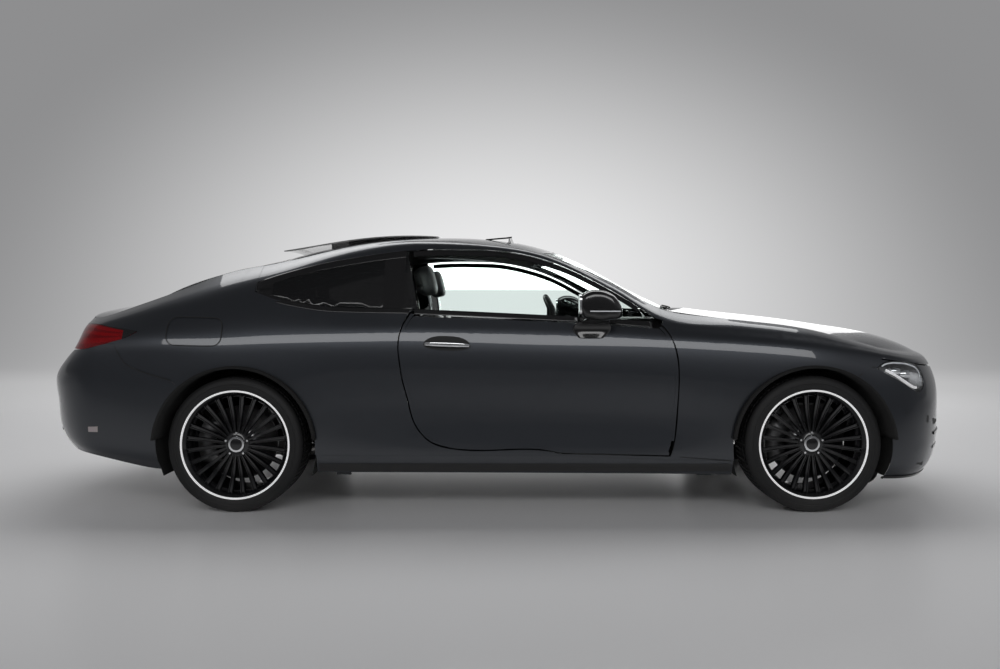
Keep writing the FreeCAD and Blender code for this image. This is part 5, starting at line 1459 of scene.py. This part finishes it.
def windowFrame(name, lines, along, outer, inner, ends, lift, depth, finish):
    strips = []
    for side in (-1, 1):
        strips.append(windowStrip(name + "Side", lines, spread(*along, 30),
                                  spread(inner * side, outer * side, 4), lift, depth))
    for start, end in ends:
        strips.append(windowStrip(name + "End", lines, spread(start, end, 4), spread(-inner, inner, 41), lift,
                                  depth))
    finishPiece(joinPieces(strips, name), finish, slot="black_trim")


for label, lines, low, high in (("screen", screenStations, 0.035, 0.985), ("rear", rearLines, 0.02, 0.97)):
    windowFrame(label + "Border", lines, (0.0, 1.0), 1, border["edge"], ((0.0, low), (high, 1.0)),
                border["lift"], border["depth"], "glossBlack")
    windowFrame(label + "Frit", lines, (0.02, 0.98), 0.985, border["inner"], ((0.01, 0.09), (0.93, 0.99)),
                border["innerLift"], border["innerDepth"], "mattBlack")

# Wind deflector ahead of the open sunroof.
deflectorValues = {
    "half": 0.385, "thickness": 0.003, "armSide": 0.383, "armWide": 0.003, "armTall": 0.004,
    "profile": ((0.088, 1.386), (0.080, 1.404), (0.074, 1.4175), (0.066, 1.4205), (0.055, 1.4205)),
    "arm": ((0.070, 1.404), (0.040, 1.400), (-0.010, 1.396), (-0.074, 1.390)),
}


def deflectorPieces(values):
    rows = []
    for y in spread(-values["half"], values["half"], 31):
        drop = 0.012 * (abs(y) / values["half"])**4 + 0.006 * (y / values["half"])**2
        rows.append([Vector((x - drop, y, z - drop)) for x, z in values["profile"]])
    blade = turnOutwards(gridPiece("windDeflector", rows), (0, 0, 1.3))
    thicken(blade, values["thickness"])
    pieces = [blade]
    wide, tall = values["armWide"], values["armTall"]
    corners = ((-wide, -tall), (wide, -tall), (wide, tall), (-wide, tall))
    for y in (-values["armSide"], values["armSide"]):
        rows = [[Vector((x, y + dy, z + dz)) for dy, dz in corners] for x, z in values["arm"]]
        pieces.append(roundedTube("deflectorArm", rows))
    return pieces


finishPiece(joinPieces(deflectorPieces(deflectorValues), "windDeflector"), "glossBlack", slot="black_plastic")

# Wipers at the foot of the windscreen, and the cowl they come out of.
# Each stroke starts and ends at a share of the glass and a side place, and has a radius and a lift.
wiperStrokes = []
for pivot, tip, tipAt in ((0.52, -0.02, 0.10), (-0.02, -0.58, 0.085)):
    wiperStrokes.append((0.035, pivot, tipAt, tip, 0.0045, 0.020))
    wiperStrokes.append((0.075, pivot - 0.02, tipAt - 0.012, tip - 0.07, 0.0055, 0.008))
wipers = []
for at0, y0, at1, y1, radius, lift in wiperStrokes:
    rows = []
    for k in range(13):
        share = k / 12
        at, y = at0 + (at1 - at0) * share, y0 + (y1 - y0) * share
        v = y / windowLine(screenStations, at)[2].y
        centre = windowPoint(screenStations, at, v, lift * (1 - 0.35 * share))
        rows.append([centre + Vector((radius * math.cos(t), 0, radius * 0.8 * math.sin(t)))
                     for t in ringTurns(8)])
    wipers.append(roundedTube("wiper", rows))
finishPiece(joinPieces(wipers, "wipers"), "mattBlack")

# Spats ahead of the front wheels.
spatProfile = ((1.926, 0.180), (1.918, 0.160), (1.903, 0.142), (1.880, 0.127))
spatRows = [[Vector((x, y, z)) for x, z in spatProfile] for y in spread(-0.800, -0.640, 9)]
spat = turnOutwards(gridPiece("wheelSpatRight", spatRows), (1.80, -0.7, 0.2))
thicken(spat, 0.004)
bothSides(spat, "mattBlack")

# Shields that close the arches in front of the wheels and behind them, in near-black felt that is partly
# painted shade.
shield = {"radius": 0.3990, "drop": 0.0120, "thickness": 0.003, "low": 0.176, "inner": 0.640, "under": 0.0075}
for label, axleX, tyreRadius in (("Front", 1.557, 0.340), ("Rear", -1.308, 0.337)):
    sheets = []
    middleZ = tyreRadius - shield["drop"]
    for way in (1, -1):
        rows = []
        steepest = math.asin((shield["low"] - middleZ) / shield["radius"])
        for turn in spread(0.12, steepest, 12):
            x = axleX + way * shield["radius"] * math.cos(turn)
            z = middleZ + shield["radius"] * math.sin(turn)
            outer = -skinFrame(x, max(z, 0.19))[0].y - shield["under"]
            rows.append([Vector((x, -y, z)) for y in spread(shield["inner"], outer, 6)])
        sheets.append(turnOutwards(gridPiece("archShield", rows), (axleX + 2 * way, -0.7, 0.3)))
        thicken(sheets[-1], shield["thickness"])
    both = joinPieces(sheets, "archShield" + label + "Right")
    bothSides(both, "linerFelt")
print("mirrors, borders and wipers made")


# Interior: padded seats, dashboard, steering wheel, door cards and lining.
piping = {"depth": 0.0035, "level": 0.62, "spread": 0.002}
bolsterStart = 0.55


def padPiece(name, half, place, tilt=0.0, crown=0.22, bolster=0.0, channels=(), power=6, waist=0.05,
             seam=0.010, cuts=30):
    deselectAll()
    bpy.ops.mesh.primitive_cube_add(size=2)
    piece = bpy.context.object
    piece.name = piece.data.name = name
    bpy.ops.object.mode_set(mode="EDIT")
    bpy.ops.mesh.select_all(action="SELECT")
    bpy.ops.mesh.subdivide(number_cuts=cuts)
    bpy.ops.object.mode_set(mode="OBJECT")
    turn = Matrix.Rotation(math.radians(tilt), 4, "Y")
    for vertex in piece.data.vertices:
        a, b, c = vertex.co
        top = c > 0.999
        q = (abs(a)**power + abs(b)**power + abs(c)**power) ** (-1 / power)
        a, b, c = a * q, b * q, c * q
        lift = crown * (1 - a * a) * (1 - b * b)
        x = a * half[0] * (1 - waist * (1 - c * c)) * (1 - waist * 0.7 * b**4)
        y = b * half[1] * (1 - waist * (1 - c * c)) * (1 - waist * 0.7 * a**4)
        z = c * half[2] * (1 + (lift if c > 0 else lift * 0.3))
        if c > 0:
            z += bolster * max(abs(b) - bolsterStart, 0)**1.5 * 3.0 * (1 - a**6) * c
        if top or c > 0.6:
            for way, spot, wide in channels:
                t = a if way == "x" else b
                z -= seam * math.exp(-((t - spot) / wide) ** 2) * min((c - 0.3) / 0.5, 1)
        if c > 0:
            z -= piping["depth"] * math.exp(-(c - piping["level"])**2 / piping["spread"])
        vertex.co = turn @ Vector((x, y, z)) + Vector(place)
    return piece


def addPad(name, finish, half, place, replaced=(), **options):
    piece = padPiece(name, half, place, **options)
    finishPiece(piece, finish, slot="leather", replaced=replaced, smooth=60)
    return piece


ribs = [("x", s, 0.035) for s in (-0.62, -0.31, 0.0, 0.31, 0.62)]
sides = [("y", -0.60, 0.03), ("y", 0.60, 0.03)]
postRadius = 0.006
for side, word in ((-1, "Right"), (1, "Left")):
    y = 0.37 * side
    addPad("seatCushion" + word, "leather", (0.255, 0.225, 0.070), (0.055, y, 0.385),
           replaced=("front_seats",), tilt=-6, bolster=0.12, channels=ribs + sides)
    addPad("seatBack" + word, "leather", (0.300, 0.215, 0.055), (-0.290, y, 0.720), tilt=-108, bolster=0.13,
           channels=[("x", s, 0.03) for s in (-0.70, -0.42, -0.14, 0.14, 0.42)] + sides, crown=0.15)
    addPad("seatHeadrest" + word, "leather", (0.085, 0.125, 0.042), (-0.395, y, 1.165), tilt=-104,
           channels=(("x", -0.3, 0.03),), crown=0.3, power=4, cuts=20)
    profile = ((-0.30, 0.232), (0.20, 0.232), (0.26, 0.318), (-0.33, 0.318))
    base = roundedTube("seatBase" + word, [[Vector((x, y - w, z)) for x, z in profile]
                                           for w in (0.200, -0.200)])
    finishPiece(base, "mattBlack")
    shell = padPiece("seatShell" + word, (0.300, 0.212, 0.020), (-0.352, y, 0.712), tilt=-108, crown=0.1,
                     cuts=14)
    finishPiece(shell, "mattBlack")
    posts = []
    for dy in (-0.045, 0.045):
        rows = []
        for x, z in ((-0.372, 1.010), (-0.395, 1.110)):
            rows.append([Vector((x + postRadius * math.cos(t), y + dy + postRadius * math.sin(t), z))
                         for t in ringTurns(10)])
        posts.append(roundedTube("headrestPost", rows))
    finishPiece(joinPieces(posts, "headrestPosts" + word), "chrome")
for side, word in ((-1, "Right"), (1, "Left")):
    y = 0.295 * side
    addPad("rearCushion" + word, "leather", (0.215, 0.235, 0.065), (-0.800, y, 0.420),
           replaced=("rear_seat",), tilt=-5, bolster=0.04,
           channels=[("x", s, 0.04) for s in (-0.45, 0.0, 0.45)] + sides)
    addPad("rearBack" + word, "leather", (0.235, 0.235, 0.055), (-1.055, y, 0.700), tilt=-107, bolster=0.04,
           channels=[("x", s, 0.04) for s in (-0.5, -0.1, 0.3)] + sides)
print("seats are padded")

# Steering wheel, turned about its own column.
steering = {"centre": Vector((0.367, 0.370, 0.927)), "tilt": 25, "radius": 0.178, "grip": 0.0155,
            "pad": ((-0.030, 0.001), (-0.030, 0.040), (-0.026, 0.058), (-0.014, 0.066), (0.010, 0.064),
                    (0.024, 0.040), (0.024, 0.001))}
columnTurn = Matrix.Rotation(math.radians(-steering["tilt"]), 4, "Y")


def onWheel(turn, radius, ahead):
    flat = Vector((ahead, radius * math.sin(turn), radius * math.cos(turn)))
    return steering["centre"] + columnTurn.to_3x3() @ flat


rimRows = []
for k in range(97):
    turn = 2 * math.pi * k / 96
    squash = 1 - 0.05 * max(-math.cos(turn) - 0.75, 0) / 0.25
    row = []
    for a in spread(0, 2 * math.pi, 15):
        reach = steering["radius"] * squash + steering["grip"] * math.cos(a)
        row.append(onWheel(turn, reach, steering["grip"] * 1.1 * math.sin(a)))
    rimRows.append(row)
wheelRim = closeUp(gridPiece("steeringRim", rimRows))
spokes = []
for turn, wide in ((math.pi / 2, 0.022), (-math.pi / 2, 0.022), (math.pi, 0.016)):
    rows = []
    for u in spread(0.035, steering["radius"] - 0.004, 8):
        half = wide * (1.25 - 2.5 * u)
        rows.append([onWheel(turn + s * half / max(u, 0.03), u, d + 0.012 * (1 - u / steering["radius"]))
                     for s, d in ((-1, -0.004), (-0.5, -0.008), (0.5, -0.008), (1, -0.004), (1, 0.006),
                                  (-1, 0.006))])
    spokes.append(roundedTube("steeringSpoke", rows))
finishPiece(joinPieces([wheelRim] + spokes, "steeringRim"), "darkLeather", "steering_wheel",
            replaced=("steering_wheel",))
hubRows = []
for ahead, radius in steering["pad"]:
    hubRows.append([onWheel(a, radius * (1.1 if abs(math.sin(a)) > 0.5 else 1.0), ahead)
                    for a in ringTurns(32)])
finishPiece(roundedTube("steeringPad", smoothRows(hubRows, 18)), "darkLeather", "steering_wheel")

# Dashboard details, console and screens.
def boxPiece(name, low, high, bevel=0.008, tilt=0.0):
    deselectAll()
    bpy.ops.mesh.primitive_cube_add(size=1)
    piece = bpy.context.object
    piece.name = piece.data.name = name
    middle = [(a + b) / 2 for a, b in zip(low, high)]
    turn = Matrix.Rotation(math.radians(tilt), 4, "Y")
    for vertex in piece.data.vertices:
        size = Vector([vertex.co[k] * (high[k] - low[k]) for k in range(3)])
        vertex.co = turn @ size + Vector(middle)
    applyTool(piece, "BEVEL", width=bevel, segments=4, limit_method="ANGLE", angle_limit=math.radians(40))
    return piece


# Name, finish, two opposite corners, bevel and tilt.
boxes = (
    ("driverScreen", "screen", (0.600, 0.235, 0.868), (0.612, 0.505, 0.985), 0.004, -12),
    ("middleScreen", "screen", (0.585, -0.105, 0.700), (0.597, 0.105, 0.925), 0.004, -18),
    ("driverHood", "darkLeather", (0.612, 0.220, 0.960), (0.760, 0.520, 0.990), 0.010, 4),
)
for name, finish, low, high, bevel, tilt in boxes:
    finishPiece(boxPiece(name, low, high, bevel, tilt), finish)
ventRingProfile = [(0.036, 0.0), (0.038, -0.006), (0.036, -0.010), (0.031, -0.010), (0.030, -0.004),
                   (0.030, 0.0), (0.036, 0.0)]
ventCoreProfile = [(0.0001, -0.007), (0.008, -0.008), (0.010, -0.003), (0.029, -0.002), (0.029, 0.006),
                   (0.0001, 0.006)]
vents, ventRings = [], []
for y, z in ((-0.630, 0.850), (0.630, 0.850), (-0.085, 0.962), (0.0, 0.962), (0.085, 0.962)):
    x = 0.622 if z < 0.9 else 0.668
    ventRings.append(lathe("ventRing", ventRingProfile, (x, y, z), 40, "X"))
    vents.append(lathe("ventCore", ventCoreProfile, (x, y, z), 32, "X"))
finishPiece(joinPieces(ventRings, "ventRings"), "chrome")
finishPiece(joinPieces(vents, "ventCores"), "mattBlack")
# Place, half width and top of the console at each section.
consoleSections = ((-0.42, 0.105, 0.56), (-0.10, 0.110, 0.575), (0.10, 0.110, 0.54), (0.38, 0.115, 0.56),
                   (0.60, 0.120, 0.66))
consoleRows = []
for x, w, top in consoleSections:
    profile = ((-1, 0.392), (-1, top - 0.02), (-0.8, top), (0.8, top), (1, top - 0.02), (1, 0.392))
    consoleRows.append([Vector((x, w * s, z)) for s, z in profile])
console = roundedTube("console", consoleRows)
finishPiece(console, "darkLeather")
finishPiece(boxPiece("consoleTray", (0.10, -0.075, 0.545), (0.44, 0.075, 0.575), 0.006, -4), "glossBlack")
addPad("armrest", "darkLeather", (0.150, 0.095, 0.028), (-0.240, 0.0, 0.598), cuts=16)
print("dashboard is fitted")


# Door cards ride the doors; the roof lining is in four pieces round the sunroof.
cardRows = []
for x in spread(-0.40, 0.78, 40):
    row = []
    for z in spread(0.36, 0.945, 24):
        point, normal = skinFrame(x, z)
        inward = 0.0935 + 0.020 * math.exp(-((z - 0.66) / 0.035) ** 2) * (1 - abs((x - 0.2) / 0.6) ** 4)
        row.append(Vector((point.x, point.y + inward + 0.002, point.z)))
    cardRows.append(row)
doorCard = turnOutwards(gridPiece("doorCardRight", cardRows), (0.2, -1.6, 0.6))
applyTool(doorCard, "SOLIDIFY", thickness=0.0015, offset=1)
bothSides(doorCard, "leather", doors)

liningDrop = 0.030
lining = []
for ats, vs in (((0.02, 0.14), (-0.96, 0.96)), ((0.46, 0.98), (-0.96, 0.96)), ((0.14, 0.46), (-0.96, -0.73)),
                ((0.14, 0.46), (0.73, 0.96))):
    grid = [[windowPoint(roofStations, at, v, -liningDrop) for v in spread(*vs, 17)]
            for at in spread(*ats, 12)]
    lining.append(turnOutwards(gridPiece("roofLining", grid), (0, 0, 2.4)))
    thicken(lining[-1], 0.0015)
finishPiece(joinPieces(lining, "roofLining"), "linerFelt")
print("lining is in")


def addSoftbox(name, place, aim, wide, long, power, mirrored=True):
    deselectAll()
    bpy.ops.object.light_add(type="AREA", location=place)
    light = bpy.context.object
    light.name = name
    light.data.shape = "RECTANGLE"
    light.data.size = wide
    light.data.size_y = long
    light.data.energy = power
    light.visible_glossy = mirrored
    way = Vector(aim) - Vector(place)
    light.rotation_euler = way.to_track_quat("-Z", "Y").to_euler()


def easeRamp(tree, first, last):
    ramp = addNode(tree, "ValToRGB")
    ramp.color_ramp.interpolation = "EASE"
    ramp.color_ramp.elements[0].color = first
    ramp.color_ramp.elements[1].color = last
    return ramp


def backdropFinish(values):
    material = bpy.data.materials.new("studioBackdrop")
    material.use_nodes = True
    tree = material.node_tree
    shader = tree.nodes["Principled BSDF"]
    shader.inputs["Roughness"].default_value = values["backdropRoughness"]
    output = tree.nodes["Material Output"]
    place = addNode(tree, "TexCoord")
    middle = addNode(tree, "Mapping")
    middle.inputs["Location"].default_value = values["glowShift"]
    middle.inputs["Scale"].default_value = values["glowSpread"]
    linkNodes(tree, place, "Object", middle, "Vector")
    far = addNode(tree, "VectorMath")
    far.operation = "LENGTH"
    linkNodes(tree, middle, "Vector", far, 0)
    # Wall glow: a painted pool of light, pale in the middle and darker towards the edges.
    shade = easeRamp(tree, values["backdropLitMiddle"], values["backdropShadedEdge"])
    linkNodes(tree, far, "Value", shade, "Fac")
    # Floor colour: painted shade, darker towards the camera.
    floorShade = easeRamp(tree, values["floorPaintedShade"], values["floorColor"])
    linkNodes(tree, floorShade, "Color", shader, "Base Color")
    glow = addNode(tree, "Emission")
    linkNodes(tree, shade, "Color", glow, "Color")
    depth = addNode(tree, "SeparateXYZ")
    linkNodes(tree, place, "Object", depth, "Vector")
    fade = addNode(tree, "MapRange")
    fade.interpolation_type = "SMOOTHSTEP"
    fade.inputs["From Min"].default_value, fade.inputs["From Max"].default_value = values["wallFade"]
    linkNodes(tree, depth, "Y", fade, "Value")
    reach = addNode(tree, "MapRange")
    reach.inputs["From Min"].default_value, reach.inputs["From Max"].default_value = values["darkFloorEnds"]
    linkNodes(tree, depth, "Y", reach, "Value")
    linkNodes(tree, reach, "Result", floorShade, "Fac")
    mix = addNode(tree, "MixShader")
    linkNodes(tree, fade, "Result", mix, "Fac")
    tree.links.new(shader.outputs["BSDF"], mix.inputs[1])
    tree.links.new(glow.outputs["Emission"], mix.inputs[2])
    tree.links.new(mix.outputs["Shader"], output.inputs["Surface"])
    return material


# Floor that curves up into the backdrop, with painted shade on the floor towards the camera and a painted
# pool of light on the glowing wall.
def addStage(values):
    start, radius = values["sweepStart"], values["sweepRadius"]
    sweep = [(-24, 0), (-8, 0), (0, 0), (4, 0), (8, 0), (start, 0)]
    for angle in range(6, 91, 6):
        turn = math.radians(angle)
        sweep.append((start + radius * math.sin(turn), radius - radius * math.cos(turn)))
    sweep += [(14, 8), (14, 24)]
    stage = gridPiece("studioSweep", [[Vector((x, y, z)) for x in (-40, -20, 0, 20, 40)] for y, z in sweep])
    useOnly(stage)
    bpy.ops.object.shade_smooth()
    stage.data.materials.append(backdropFinish(values))
    stage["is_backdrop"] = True
    world = bpy.data.worlds.new("studioWorld")
    scene.world = world
    world.use_nodes = True
    background = world.node_tree.nodes["Background"]
    background.inputs["Strength"].default_value = values["worldStrength"]
    way = addNode(world.node_tree, "TexCoord")
    height = addNode(world.node_tree, "SeparateXYZ")
    linkNodes(world.node_tree, way, "Generated", height, "Vector")
    share = addNode(world.node_tree, "MapRange")
    share.inputs["From Min"].default_value = -1
    linkNodes(world.node_tree, height, "Z", share, "Value")
    sky = addNode(world.node_tree, "ValToRGB")
    for k, (place, shade) in enumerate(values["skyShades"]):
        stop = sky.color_ramp.elements[k] if k < 2 else sky.color_ramp.elements.new(place)
        stop.position = place
        stop.color = (shade, shade, shade * 1.04, 1)
    linkNodes(world.node_tree, share, "Result", sky, "Fac")
    linkNodes(world.node_tree, sky, "Color", background, "Color")
    addSoftbox("topSoftbox", *values["top"])
    addSoftbox("sideSoftbox", *values["side"])
    addSoftbox("farSoftbox", *values["far"], mirrored=False)
    addSoftbox("frontSoftbox", *values["front"])


addStage(studio)
print("studio is up")

low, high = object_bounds()
